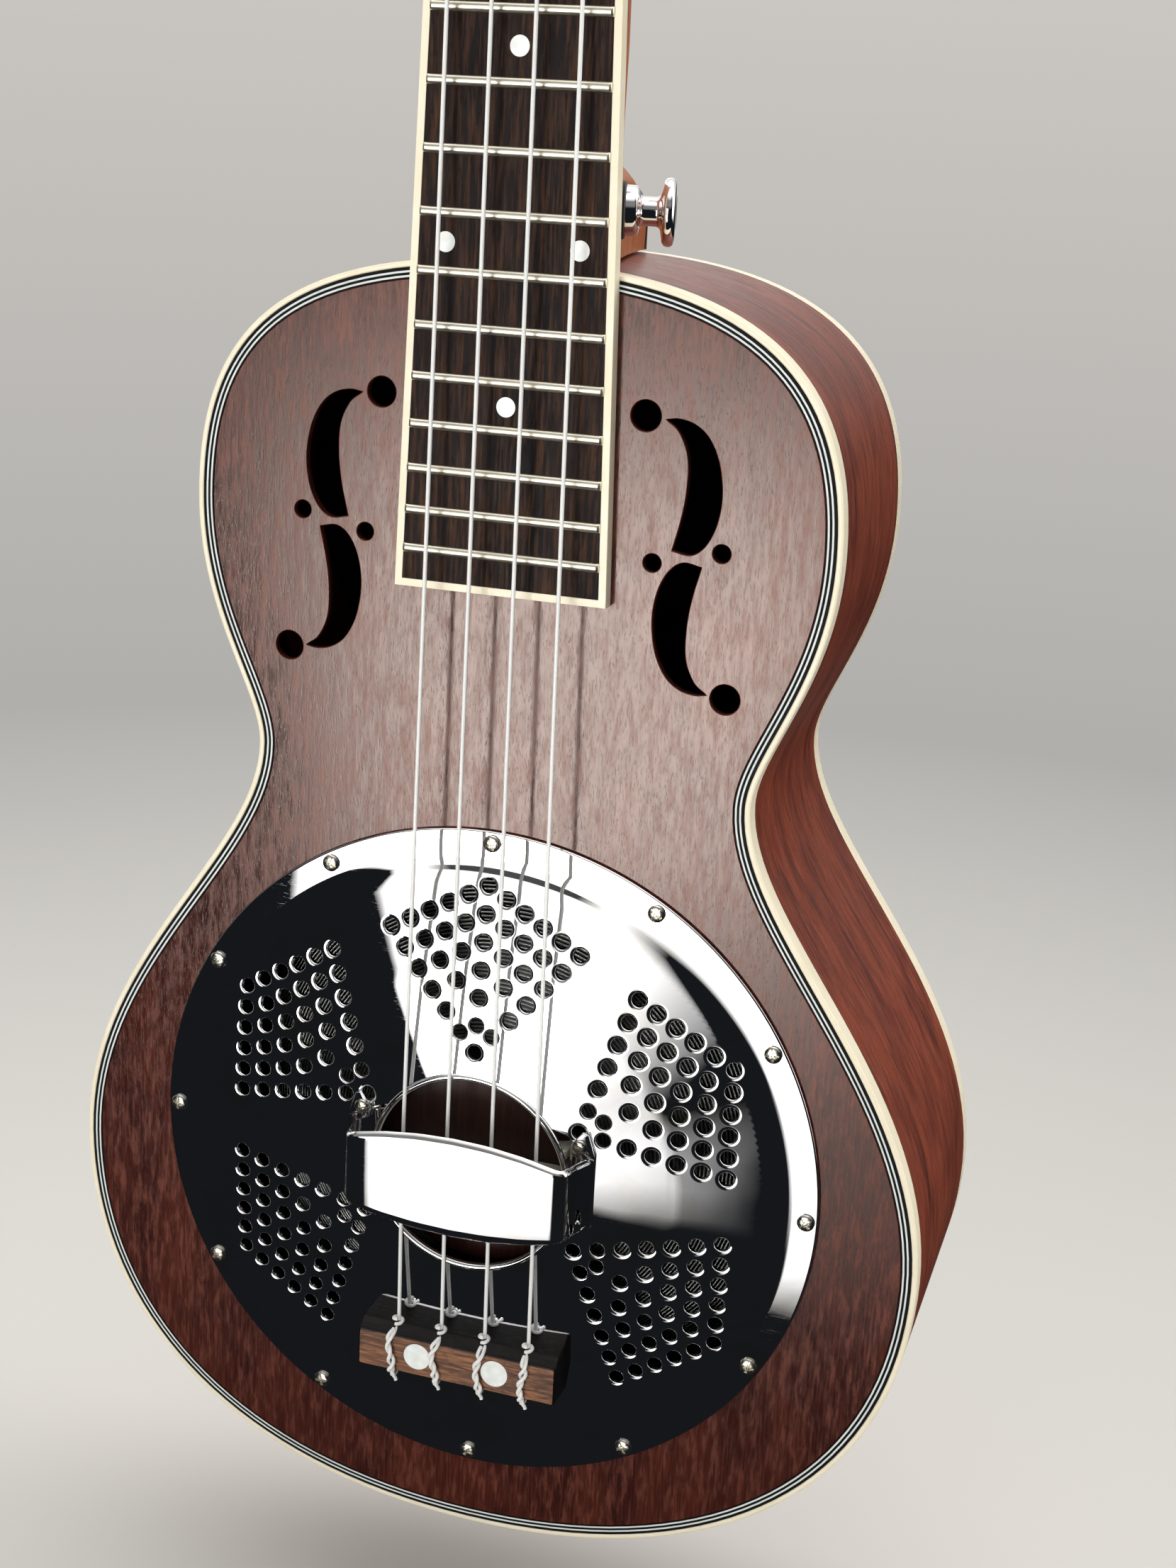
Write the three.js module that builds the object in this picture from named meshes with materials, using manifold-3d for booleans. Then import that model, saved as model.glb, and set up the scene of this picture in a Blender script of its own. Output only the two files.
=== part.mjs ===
// Four-string resonator ukulele, concert size.
// Working axes while modelling: x across the strings (treble side positive), y from the front
// of the instrument to its back, z up the neck. y = 0 is the plane of the fret tops and z = 0
// the saddle. The exported group moves all of it so that the origin is the hanger seat.
// Units are millimetres.

import * as THREE from 'three';
import { mergeVertices } from 'three/addons/utils/BufferGeometryUtils.js';
import Module from 'manifold-3d';

const wasm = await Module();
wasm.setup();

// ---------------------------------------------------------------- driving dimensions

const GAP = 0.3;                      // clearance between neighbouring pieces
const SCALE_LENGTH = 381;             // saddle to nut
const HANGER_SEAT = new THREE.Vector3(0, 10, 392);

// body
const TOP_Y = 4.2;                    // front face of the soundboard
const PLATE = 2;                      // thickness of top and back plates
const SIDE = 2;                       // thickness of the sides
const BINDING_WIDTH = 1.5;
const BINDING_HEIGHT = 4;
const PURFLING_WIDTH = 1.7;
const LINING_WIDTH = 5.5;
const LINING_HEIGHT = 8;
const END_BLOCK_HALF_WIDTH = 25;
const BRACE_HEIGHT = 9;
const BRACE_WIDTH = 7;
const DEPTH_AT_SADDLE = 70;           // body depth on the saddle line
const DEPTH_SLOPE = -0.036;           // the body gets shallower towards the neck
const OUTLINE_STEPS = 7;              // facets on each quarter of the half outline

// body outline, right half, as x and z of its turning points and the reach of their handles
const OUTLINE_TOP = 193.4;
const UPPER_BOUT = { x: 69.5, z: 140.5 };
const WAIST = { x: 54.9, z: 87.7 };
const LOWER_BOUT = { x: 98.4, z: -13 };
const OUTLINE_BOTTOM = -94.8;

// resonator
const RESONATOR_Z = -1.1;             // centre of cone and cover plate
const COVER_RADIUS = 76.5;
const COVER_STEP_RADIUS = 69.8;
const COVER_OPENING_RADIUS = 21.8;
const COVER_THICKNESS = 0.8;
const WELL_INNER_RADIUS = 70.3;
const WELL_OUTER_RADIUS = 80;
const WELL_LEDGE_Y = 26;
const WELL_LEDGE = 5;                 // width and thickness of the ledge under the cone's rim
const CONE_RADIUS = 69.5;
const CONE_TOP_RADIUS = 25;
const CONE_TOP_Y = 9;
const BISCUIT_RADIUS = 24;
const BISCUIT_Y = 2.5;
const BISCUIT_BORE = 1.9;             // hole for the biscuit screw, also through the cone
const SADDLE_HALF_LENGTH = 20.3;
const SADDLE_HALF_THICKNESS = 1.5;
const PERFORATION_RADIUS = 1.75;
const TIE_BLOCK_HALF_LENGTH = 23.5;
const HAND_REST_SCREW = { x: 25.2, z: 10.4 };

// neck
const BODY_JOINT_Z = OUTLINE_TOP + 0.4;
const BOARD_END_Z = 126.6;
const BOARD_END_WIDTH = 45.8;
const NUT_WIDTH = 33;
const BOARD_Y = 0.9;                  // front face of the fingerboard
const BOARD_BINDING = 1.6;
const HEEL_DEPTH = 58;
const HEEL_END_HALF_WIDTH = 9;
const HEEL_CAP = 1.9;                 // thickness of the heel cap
const NECK_RIDGE = 0.25;              // half width of the flat along the back of the shaft
const HEEL_FLANK_ANGLE = THREE.MathUtils.degToRad(14.5);
const HEEL_BUTTON_SEAT = new THREE.Vector3(17.3, 14, 203.8);
const TAIL_BUTTON_Y = 42;

// headstock, in its own tilted frame: y = 0 is its front face, z = 0 its lower end
const HEAD_TILT = THREE.MathUtils.degToRad(12);
const HEAD_Y = 1.6;
const HEAD_Z = SCALE_LENGTH + 5.3;
const HEAD_LENGTH = 128;
const VENEER = 1.5;
const HEAD_BACK_Y = 12.8;

// strings
const STRING_RADIUS = 0.43;
const STRING_AT_SADDLE = [-15.0, -4.7, 5.6, 15.9];
const STRING_AT_NUT = [-12.8, -4.6, 3.6, 11.8];
const STRING_SADDLE_Y = -5.6;
const STRING_NUT_Y = -1.2;
const STRING_TIE_Y = -4.6;

// tuners, in the headstock frame
const POST_X = 14.5;
const POST_Z = [38, 84];
// Side of the headstock and height up it of each tuner, in string order.
const TUNERS = [[-1, POST_Z[0]], [-1, POST_Z[1]], [1, POST_Z[1]], [1, POST_Z[0]]];
const POST_RADIUS = 3;
const POST_WAIST_RADIUS = 2.6;
const POST_BORE_RADIUS = POST_RADIUS + 0.4;
const STRING_POST_Y = -5;
const GEAR_TEETH = 14;
const GEAR_PITCH_RADIUS = 4.5;
const GEAR_WIDTH = 2.4;
const GEAR_BORE_RADIUS = 1.8;
const WORM_PITCH_RADIUS = 2;
const WORM_CORE_RADIUS = 1.3;
const WORM_TIP_RADIUS = 2.5;
const WORM_TURNS = 3;
const PLATE_FRONT_Y = HEAD_BACK_Y + GAP;
const TUNER_PLATE = 1;
const GEAR_Y = PLATE_FRONT_Y + TUNER_PLATE + 2.9;
const BUTTON_X = 31;
const BUTTON_LENGTH = 15;
const BUTTON_FLATNESS = 0.55;         // its thickness over its width
const SHAFT_IN_BUTTON = 7;            // how far the worm's shaft reaches into the button
const WORM_INNER_END = 8.6;           // end of the shaft on the other side of the post

// ---------------------------------------------------------------- materials

function finish(color, roughness, metalness) {
  return new THREE.MeshStandardMaterial({ color, roughness, metalness });
}

const topMahogany = finish(0x5c3229, 0.45, 0);
const sideMahogany = finish(0x6f3524, 0.4, 0);
const neckMahogany = finish(0x9a5a34, 0.5, 0);
const spruce = finish(0xd9bd8c, 0.8, 0);
const ivory = finish(0xefe6cc, 0.35, 0);
const purflingBlack = finish(0x1a1a1c, 0.4, 0);
const rosewood = finish(0x33241e, 0.55, 0);
const bone = finish(0xf2eee2, 0.4, 0);
const chrome = finish(0xd8d8da, 0.08, 1);
const spunAluminium = finish(0xb9bbbd, 0.35, 1);
const nylon = finish(0xeeeeea, 0.3, 0);
const nickel = finish(0xb8b6b0, 0.25, 1);
const pearloid = finish(0xf1efe6, 0.3, 0);
const blackFelt = finish(0x101010, 0.9, 0);

// ---------------------------------------------------------------- solids

// A closed mesh as a solid for joining and cutting.
function solidOf(geometry) {
  const bare = new THREE.BufferGeometry();
  bare.setAttribute('position', geometry.getAttribute('position').clone());
  if (geometry.index) bare.setIndex(geometry.index.clone());
  const merged = mergeVertices(bare, 1e-4);
  const vertProperties = new Float32Array(merged.getAttribute('position').array);
  const triVerts = new Uint32Array(merged.index.array);
  return new wasm.Manifold(new wasm.Mesh({ numProp: 3, vertProperties, triVerts }));
}

function geometryOf(solid) {
  const mesh = solid.getMesh();
  const geometry = new THREE.BufferGeometry();
  geometry.setAttribute('position', new THREE.BufferAttribute(mesh.vertProperties, 3));
  geometry.setIndex(new THREE.BufferAttribute(mesh.triVerts, 1));
  geometry.computeVertexNormals();
  return geometry;
}

function cut(geometry, ...tools) {
  return geometryOf(tools.reduce((solid, tool) => solid.subtract(solidOf(tool)), solidOf(geometry)));
}

function join(geometry, ...others) {
  return geometryOf(others.reduce((solid, other) => solid.add(solidOf(other)), solidOf(geometry)));
}

// A closed skin over a row of loops with equal point counts, capped at both ends.
function loft(loops) {
  const count = loops[0].length;
  const positions = [];
  const index = [];
  for (const loop of loops) for (const p of loop) positions.push(p.x, p.y, p.z);
  for (let i = 0; i + 1 < loops.length; i += 1) {
    for (let j = 0; j < count; j += 1) {
      const a = i * count + j;
      const b = i * count + (j + 1) % count;
      index.push(a, b, b + count, a, b + count, a + count);
    }
  }
  for (const [i, turn] of [[0, -1], [loops.length - 1, 1]]) {
    const centre = loops[i].reduce((sum, p) => sum.add(p), new THREE.Vector3()).divideScalar(count);
    const hub = positions.length / 3;
    positions.push(centre.x, centre.y, centre.z);
    for (let j = 0; j < count; j += 1) {
      const a = i * count + j;
      const b = i * count + (j + 1) % count;
      if (turn > 0) index.push(a, b, hub);
      else index.push(b, a, hub);
    }
  }
  const geometry = new THREE.BufferGeometry();
  geometry.setAttribute('position', new THREE.Float32BufferAttribute(positions, 3));
  geometry.setIndex(index);
  return facingOut(geometry);
}

// Reverses every triangle of a closed mesh that encloses a negative volume.
function facingOut(geometry) {
  const p = geometry.getAttribute('position');
  const index = Array.from(geometry.index.array);
  const corner = (i) => new THREE.Vector3().fromBufferAttribute(p, index[i]);
  let volume = 0;
  for (let i = 0; i < index.length; i += 3) {
    volume += corner(i).dot(corner(i + 1).cross(corner(i + 2)));
  }
  if (volume < 0) index.reverse();
  geometry.setIndex(index);
  geometry.computeVertexNormals();
  return geometry;
}

// A flat outline in x and z, thickened from y0 to y1.
function slab(shape, y0, y1, curveSegments = 6) {
  const settings = { depth: y1 - y0, bevelEnabled: false, curveSegments };
  return new THREE.ExtrudeGeometry(shape, settings).rotateX(Math.PI / 2).translate(0, y1, 0);
}

// A profile of radius and y pairs turned about the y axis.
function turned(profile, segments) {
  return new THREE.LatheGeometry(profile.map(([r, y]) => new THREE.Vector2(r, y)), segments);
}

// The same about the resonator's centre line.
function turnedOnResonator(profile, segments) {
  return turned(profile, segments).translate(0, 0, RESONATOR_Z);
}

// A closed profile that stays clear of the axis, such as a ring, turned about the resonator.
function ringOnResonator(profile, segments) {
  return turnedOnResonator(profile.concat([profile[0]]), segments);
}

function rod(radius, y0, y1, segments, x = 0, z = 0) {
  const cylinder = new THREE.CylinderGeometry(radius, radius, y1 - y0, segments);
  return cylinder.translate(x, (y0 + y1) / 2, z);
}

function block(x0, x1, y0, y1, z0, z1) {
  const box = new THREE.BoxGeometry(x1 - x0, y1 - y0, z1 - z0);
  return box.translate((x0 + x1) / 2, (y0 + y1) / 2, (z0 + z1) / 2);
}

// A straight-sided tube through a short list of points.
function tubeThrough(points, radius, sides) {
  const across = new THREE.Vector3(1, 0, 0);
  const loops = points.map((point, i) => {
    const before = points[Math.max(i - 1, 0)];
    const after = points[Math.min(i + 1, points.length - 1)];
    const along = after.clone().sub(before).normalize();
    const up = along.clone().cross(across).normalize();
    const side = up.clone().cross(along);
    return Array.from({ length: sides }, (_, j) => {
      const angle = 2 * Math.PI * j / sides;
      return point.clone()
        .addScaledVector(side, radius * Math.cos(angle))
        .addScaledVector(up, radius * Math.sin(angle));
    });
  });
  return loft(loops);
}

const root = new THREE.Group();

function part(name, geometry, material, parent = root) {
  const mesh = new THREE.Mesh(geometry, material.clone());
  mesh.name = name;
  parent.add(mesh);
  return mesh;
}

// ---------------------------------------------------------------- body outline

const v2 = (x, z) => new THREE.Vector2(x, z);

const HALF_OUTLINE = [
  new THREE.CubicBezierCurve(v2(0, OUTLINE_TOP), v2(56, OUTLINE_TOP),
    v2(UPPER_BOUT.x, UPPER_BOUT.z + 30), v2(UPPER_BOUT.x, UPPER_BOUT.z)),
  new THREE.CubicBezierCurve(v2(UPPER_BOUT.x, UPPER_BOUT.z), v2(UPPER_BOUT.x, UPPER_BOUT.z - 26),
    v2(WAIST.x, WAIST.z + 11.5), v2(WAIST.x, WAIST.z)),
  new THREE.CubicBezierCurve(v2(WAIST.x, WAIST.z), v2(WAIST.x, WAIST.z - 26),
    v2(LOWER_BOUT.x, LOWER_BOUT.z + 45), v2(LOWER_BOUT.x, LOWER_BOUT.z)),
  new THREE.CubicBezierCurve(v2(LOWER_BOUT.x, LOWER_BOUT.z), v2(LOWER_BOUT.x, LOWER_BOUT.z - 47),
    v2(63, OUTLINE_BOTTOM), v2(0, OUTLINE_BOTTOM)),
];

// Points of the right half from the top centre to the bottom centre, moved inwards.
function halfOutline(inset) {
  const points = [];
  HALF_OUTLINE.forEach((curve, i) => {
    const last = i === HALF_OUTLINE.length - 1 ? OUTLINE_STEPS : OUTLINE_STEPS - 1;
    for (let j = 0; j <= last; j += 1) {
      const t = j / OUTLINE_STEPS;
      const tangent = curve.getTangent(t);
      points.push(curve.getPoint(t).add(v2(tangent.y, -tangent.x).multiplyScalar(inset)));
    }
  });
  return points;
}

function fullOutline(inset) {
  const right = halfOutline(inset);
  const left = right.slice(1, -1).reverse().map((p) => v2(-p.x, p.y));
  return right.concat(left);
}

// A closed hoop along the outline, between two insets and from y0 to y1.
function hoop(outerInset, innerInset, y0, y1) {
  const inside = slab(new THREE.Shape(fullOutline(innerInset)), y0 - 1, y1 + 1);
  return cut(slab(new THREE.Shape(fullOutline(outerInset)), y0, y1), inside);
}

// One side's strip between two insets, ending minX away from the centreline.
function stripShape(outerInset, innerInset, minX, side) {
  const loop = halfOutline(outerInset).concat(halfOutline(innerInset).reverse());
  const kept = minX > END_BLOCK_HALF_WIDTH ? loop.filter((p) => p.x > minX) : loop;
  return new THREE.Shape(kept.map((p) => v2(side * Math.max(p.x, minX), p.y)));
}

function backY(z) {
  return TOP_Y + DEPTH_AT_SADDLE + DEPTH_SLOPE * z;
}

// Slides every point of a slab modelled about y = 0 onto the slanted back face.
function ontoBack(geometry) {
  const p = geometry.getAttribute('position');
  for (let i = 0; i < p.count; i += 1) p.setY(i, p.getY(i) + backY(p.getZ(i)));
  geometry.computeVertexNormals();
  return geometry;
}

// Stretches a slab from y = 0 to y = 1 so that it fills the space between both bindings.
function betweenBindings(geometry) {
  const front = TOP_Y + BINDING_HEIGHT + GAP;
  const p = geometry.getAttribute('position');
  for (let i = 0; i < p.count; i += 1) {
    const back = backY(p.getZ(i)) - BINDING_HEIGHT - GAP;
    p.setY(i, p.getY(i) < 0.5 ? front : back);
  }
  geometry.computeVertexNormals();
  return geometry;
}

// ---------------------------------------------------------------- soundboard and f-holes

const F_EYES = [
  { x: 28.1, z: 165.4, r: 3.1 }, { x: 48, z: 110.1, r: 3.1 },
  { x: 45.3, z: 139.6, r: 1.85 }, { x: 31.1, z: 136.3, r: 1.85 },
];
const F_BLADE_OUTER = [[32.3, 165], [39.8, 163.3], [44.3, 153.9], [43.4, 144.4], [38.9, 138.6]];
const F_BLADE_INNER = [[35.1, 139.2], [37.2, 150], [36.7, 160.3]];
const F_CENTRE = [38.2, 137.8];       // the lower blade is the upper one turned about this point

function fBlade(side, upper) {
  const place = ([x, z]) => {
    const point = upper ? [x, z] : [2 * F_CENTRE[0] - x, 2 * F_CENTRE[1] - z];
    return v2(side * point[0], point[1]);
  };
  const path = new THREE.Path();
  const outer = F_BLADE_OUTER.map(place);
  const inner = F_BLADE_INNER.map(place);
  path.moveTo(outer[0].x, outer[0].y);
  path.splineThru(outer.slice(1));
  path.lineTo(inner[0].x, inner[0].y);
  path.splineThru(inner.slice(1).concat([outer[0].clone()]));
  return new THREE.Shape(path.getPoints(2).slice(0, -1));
}

function soundboard() {
  const low = TOP_Y - 1;
  const high = TOP_Y + PLATE + 1;
  const holes = [rod(WELL_INNER_RADIUS, low, high, 40, 0, RESONATOR_Z)];
  for (const side of [-1, 1]) {
    for (const eye of F_EYES) holes.push(rod(eye.r, low, high, 8, side * eye.x, eye.z));
    for (const upper of [true, false]) holes.push(slab(fBlade(side, upper), low, high));
  }
  const shape = new THREE.Shape(fullOutline(BINDING_WIDTH + PURFLING_WIDTH + 2 * GAP));
  return cut(slab(shape, TOP_Y, TOP_Y + PLATE), ...holes);
}

// ---------------------------------------------------------------- body

function addBody() {
  const liningInset = SIDE + GAP;
  const purflingInset = BINDING_WIDTH + GAP;
  part('top_plate', soundboard(), topMahogany);
  part('top_purfling', hoop(purflingInset, purflingInset + PURFLING_WIDTH,
    TOP_Y, TOP_Y + PLATE), purflingBlack);
  part('top_binding', hoop(0, BINDING_WIDTH, TOP_Y, TOP_Y + BINDING_HEIGHT), ivory);
  part('back_plate', ontoBack(slab(new THREE.Shape(fullOutline(purflingInset)), -PLATE, 0)),
    sideMahogany);
  part('back_binding', ontoBack(hoop(0, BINDING_WIDTH, -BINDING_HEIGHT, 0)), ivory);
  const liningFront = TOP_Y + PLATE + GAP;
  for (const [name, side] of [['bass', -1], ['treble', 1]]) {
    part(`side_${name}`, betweenBindings(slab(stripShape(0, SIDE, GAP / 2, side), 0, 1)),
      sideMahogany);
    const lining = stripShape(liningInset, liningInset + LINING_WIDTH,
      END_BLOCK_HALF_WIDTH + 5, side);
    part(`top_lining_${name}`, slab(lining, liningFront, liningFront + LINING_HEIGHT), spruce);
    part(`back_lining_${name}`, ontoBack(slab(lining, -PLATE - GAP - LINING_HEIGHT,
      -PLATE - GAP)), spruce);
  }
}

// A block between the plates that follows the inside of the rim at one end of the body.
function endBlock(z0, z1) {
  const halfWidth = END_BLOCK_HALF_WIDTH;
  const front = TOP_Y + PLATE + GAP;
  const rim = halfOutline(SIDE + GAP).filter((p) => p.x < halfWidth && p.y > z0 && p.y < z1);
  const nearTop = z0 > 0;
  const inner = nearTop ? z0 : z1;
  const edge = nearTop ? rim : rim.reverse();
  const corner = edge[edge.length - 1].y;
  const right = edge.concat([v2(halfWidth, corner - (nearTop ? 1 : -1)), v2(halfWidth, inner)]);
  const left = right.slice(1).reverse().map((p) => v2(-p.x, p.y));
  const geometry = slab(new THREE.Shape(right.concat(left)), 0, 1);
  const p = geometry.getAttribute('position');
  for (let i = 0; i < p.count; i += 1) {
    p.setY(i, p.getY(i) < 0.5 ? front : backY(p.getZ(i)) - PLATE - GAP);
  }
  geometry.computeVertexNormals();
  return geometry;
}

function brace(reach, y0, z) {
  return block(-reach, reach, y0, y0 + BRACE_HEIGHT, z - BRACE_WIDTH / 2, z + BRACE_WIDTH / 2);
}

function addFraming() {
  const front = TOP_Y + PLATE + GAP;
  part('neck_block', endBlock(168, 192), sideMahogany);
  part('tail_block', endBlock(-94, -82.5), sideMahogany);
  part('upper_top_brace', brace(45, front, 96), spruce);
  const inFrontOfBack = -PLATE - GAP - BRACE_HEIGHT;
  part('back_brace_upper', ontoBack(brace(56, inFrontOfBack, 120)), spruce);
  part('back_brace_lower', ontoBack(brace(88, inFrontOfBack, -20)), spruce);
  const ledgeRadius = WELL_INNER_RADIUS - WELL_LEDGE;
  const bottom = WELL_LEDGE_Y + WELL_LEDGE;
  const well = [[WELL_INNER_RADIUS, front], [WELL_OUTER_RADIUS, front],
    [WELL_OUTER_RADIUS, bottom], [ledgeRadius, bottom],
    [ledgeRadius, WELL_LEDGE_Y], [WELL_INNER_RADIUS, WELL_LEDGE_Y]];
  part('soundwell', ringOnResonator(well, 32), spruce);
}

// ---------------------------------------------------------------- resonator

// Front face of the cover plate, as radius and y.
const COVER_FRONT = [
  [COVER_OPENING_RADIUS, -4.1], [25, -3.7], [46, -1.3], [66.2, 1.9],
  [COVER_STEP_RADIUS, 3.1], [COVER_RADIUS, 3.1],
];

// Places of one kite of perforations, as distance out from the centre and offset sideways.
function perforationKite() {
  const holes = [];
  [5, 4, 3, 2, 1, 1, 0].forEach((perSide, row) => {
    const apex = 64.8 - 6.1 * row;
    const end = { out: 52.8 - 4.1 * row, across: 21.6 - 3.6 * row };
    holes.push([apex, 0]);
    for (let i = 1; i <= perSide; i += 1) {
      const t = i / perSide;
      const out = apex + (end.out - apex) * t;
      holes.push([out, end.across * t], [out, -end.across * t]);
    }
  });
  return holes;
}

function coverPlate() {
  const back = COVER_FRONT.map(([r, y]) => [r, y + COVER_THICKNESS]).reverse();
  const plate = ringOnResonator(COVER_FRONT.concat(back), 28);
  const holes = [];
  for (const turn of [0, 60, -60, 120, -120]) {
    const angle = THREE.MathUtils.degToRad(turn);
    for (const [out, across] of perforationKite()) {
      const x = out * Math.sin(angle) + across * Math.cos(angle);
      const z = out * Math.cos(angle) - across * Math.sin(angle);
      holes.push(solidOf(rod(PERFORATION_RADIUS, -8, 8, 4, x, RESONATOR_Z + z)));
    }
  }
  return geometryOf(solidOf(plate).subtract(wasm.Manifold.union(holes)));
}

function resonatorCone() {
  const front = [[0, CONE_TOP_Y], [CONE_TOP_RADIUS, CONE_TOP_Y], [45, 16.4], [64, 23.9],
    [66, 24.9], [CONE_RADIUS, 24.9]];
  const back = front.map(([r, y]) => [r, y + 0.6]).reverse();
  const cone = turnedOnResonator(front.concat(back), 32);
  return cut(cone, rod(BISCUIT_BORE, 0, 20, 8, 0, RESONATOR_Z));
}

// Half cross-section of the hand rest from its foot to the centreline, as x and y.
const HAND_REST_OUTER = [[28.6, -3], [28.2, -5.6], [26.6, -8.4], [25.2, -12.2], [22.8, -14.5],
  [0, -15]];
const HAND_REST_INNER = [[0, -13.9], [22, -13.4], [24.1, -11.7], [25.5, -8.2], [26.6, -3]];
// Half plan of its bowed edge: x and the reach along z.
const HAND_REST_EDGE = [[0, 11.6], [8, 11.3], [16, 10.3], [24.5, 8.5], [30, 8.5]];
// Plan of the foot that runs to a screw on the neck side.
const HAND_REST_FOOT = [[28.6, -8.5], [28.6, 8.5], [27, 13.2], [25.6, 13.6], [23.2, 10.8],
  [23.4, 8.2], [26.8, 6.5], [26.8, -8.5]];

// A half outline continued as its mirror image across x = 0.
function mirrored(half) {
  const other = half.filter(([x]) => x > 0).map(([x, y]) => [-x, y]);
  return half.concat(other.reverse());
}

function shapeOf(points) {
  return new THREE.Shape(points.map(([x, y]) => v2(x, y)));
}

// The arched strip over the saddle: a crown above the strings and two feet on the cover plate.
function handRest() {
  const width = HAND_REST_EDGE[0][1];
  const back = mirrored(HAND_REST_INNER.slice().reverse()).reverse();
  const strip = new THREE.ExtrudeGeometry(shapeOf(mirrored(HAND_REST_OUTER).concat(back)),
    { depth: 2 * width, bevelEnabled: false }).translate(0, 0, -width);
  const right = HAND_REST_EDGE.map(([x, z]) => [x, z]).reverse();
  const beyond = [[-30, 20], [30, 20]];
  const trims = [1, -1].map((end) => slab(shapeOf(mirrored(right).concat(beyond)
    .map(([x, z]) => [x, end * z])), -20, 0));
  const feet = [1, -1].map((side) => slab(shapeOf(HAND_REST_FOOT.map(([x, z]) => [side * x, z])),
    -5, -3));
  const bores = [1, -1].map((side) => rod(1.3, -9, 2, 8, side * HAND_REST_SCREW.x,
    HAND_REST_SCREW.z));
  return cut(join(cut(strip, ...trims), ...feet), underCover(), ...bores);
}

// Everything behind the front face of the cover plate, grown by the clearance.
function underCover() {
  const front = COVER_FRONT.slice(1).map(([r, y]) => [r, y - GAP]);
  return turnedOnResonator([[0, front[0][1]], ...front, [COVER_RADIUS, 20], [0, 20]], 36);
}

// The bar behind the saddle, chamfered towards the strings, that they are tied to.
function tieBlock() {
  const side = shapeOf([[-8, -51.4], [1.5, -52], [1.5, -40], [-5.6, -40.2], [-8, -42]]);
  const depth = 2 * TIE_BLOCK_HALF_LENGTH;
  const bar = new THREE.ExtrudeGeometry(side, { depth, bevelEnabled: false });
  bar.applyMatrix4(new THREE.Matrix4().makeBasis(new THREE.Vector3(0, 1, 0),
    new THREE.Vector3(0, 0, 1), new THREE.Vector3(1, 0, 0)));
  bar.translate(-TIE_BLOCK_HALF_LENGTH, 0, 0);
  const holes = STRING_AT_SADDLE.map((x) => rod(2 * STRING_RADIUS, -56, -34, 6)
    .rotateX(Math.PI / 2).translate(x, STRING_TIE_Y - 0.12, 0));
  return cut(bar, underCover(), ...holes);
}

function biscuit() {
  const disc = rod(BISCUIT_RADIUS, BISCUIT_Y, CONE_TOP_Y - GAP, 24, 0, RESONATOR_Z);
  const reach = SADDLE_HALF_LENGTH + GAP;
  const across = SADDLE_HALF_THICKNESS + GAP;
  const slot = block(-reach, reach, 0, BISCUIT_Y + 2, -across, across);
  return cut(disc, slot, rod(BISCUIT_BORE, 0, 12, 8, 0, RESONATOR_Z));
}

function addResonator() {
  part('resonator_cone', resonatorCone(), spunAluminium);
  part('biscuit', biscuit(), rosewood);
  part('saddle', block(-SADDLE_HALF_LENGTH, SADDLE_HALF_LENGTH,
    STRING_SADDLE_Y + STRING_RADIUS + GAP, BISCUIT_Y + 2 - GAP,
    -SADDLE_HALF_THICKNESS, SADDLE_HALF_THICKNESS), bone);
  const shankEnd = BISCUIT_Y + 2.2;
  const underCone = CONE_TOP_Y + 1.1;
  const screw = [[0, shankEnd], [1.5, shankEnd], [1.5, underCone], [3.4, underCone],
    [3, underCone + 1.9], [0, underCone + 2.3]];
  part('biscuit_screw', turnedOnResonator(screw, 10), nickel);
  part('cover_plate', coverPlate(), chrome);
  part('hand_rest', handRest(), chrome);
  const head = [[0, -6.6], [1.7, -6.1], [2, -5.3], [1, -5.3], [1, -4.3], [0, -4.3]];
  for (const [name, side] of [['bass', -1], ['treble', 1]]) {
    part(`hand_rest_screw_${name}`, turned(head, 10)
      .translate(side * HAND_REST_SCREW.x, 0, HAND_REST_SCREW.z), nickel);
  }
  part('tie_block', tieBlock(), rosewood);
}

// ---------------------------------------------------------------- neck

function boardHalfWidth(z) {
  const t = (z - BOARD_END_Z) / (SCALE_LENGTH - BOARD_END_Z);
  return THREE.MathUtils.lerp(BOARD_END_WIDTH, NUT_WIDTH, t) / 2;
}

function boardShape(inset) {
  const low = BOARD_END_Z + inset;
  const wide = boardHalfWidth(low) - inset;
  const narrow = boardHalfWidth(SCALE_LENGTH) - inset;
  return [v2(-wide, low), v2(wide, low), v2(narrow, SCALE_LENGTH), v2(-narrow, SCALE_LENGTH)];
}

// Stations up the neck: z, depth behind the board, half width at the back, roundness.
const NECK_STATIONS = [
  [BODY_JOINT_Z, HEEL_DEPTH, HEEL_END_HALF_WIDTH, 0.8],
  [203, HEEL_DEPTH - 1, HEEL_END_HALF_WIDTH, 0.8],
  [208, 54, 8, 0.85],
  [213, 43, 6, 0.95],
  [219, 32, 3, 1.15],
  [227, 23.5, NECK_RIDGE, 1.5],
  [238, 18.5, NECK_RIDGE, 1.9],
  [255, 17, NECK_RIDGE, 2.1],
  [375, 15.5, NECK_RIDGE, 2.1],
  [381, 14.4, NECK_RIDGE, 2.1],
  [388, 11.4, NECK_RIDGE, 2.3],
];
const NECK_SIDE_POINTS = 7;

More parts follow.
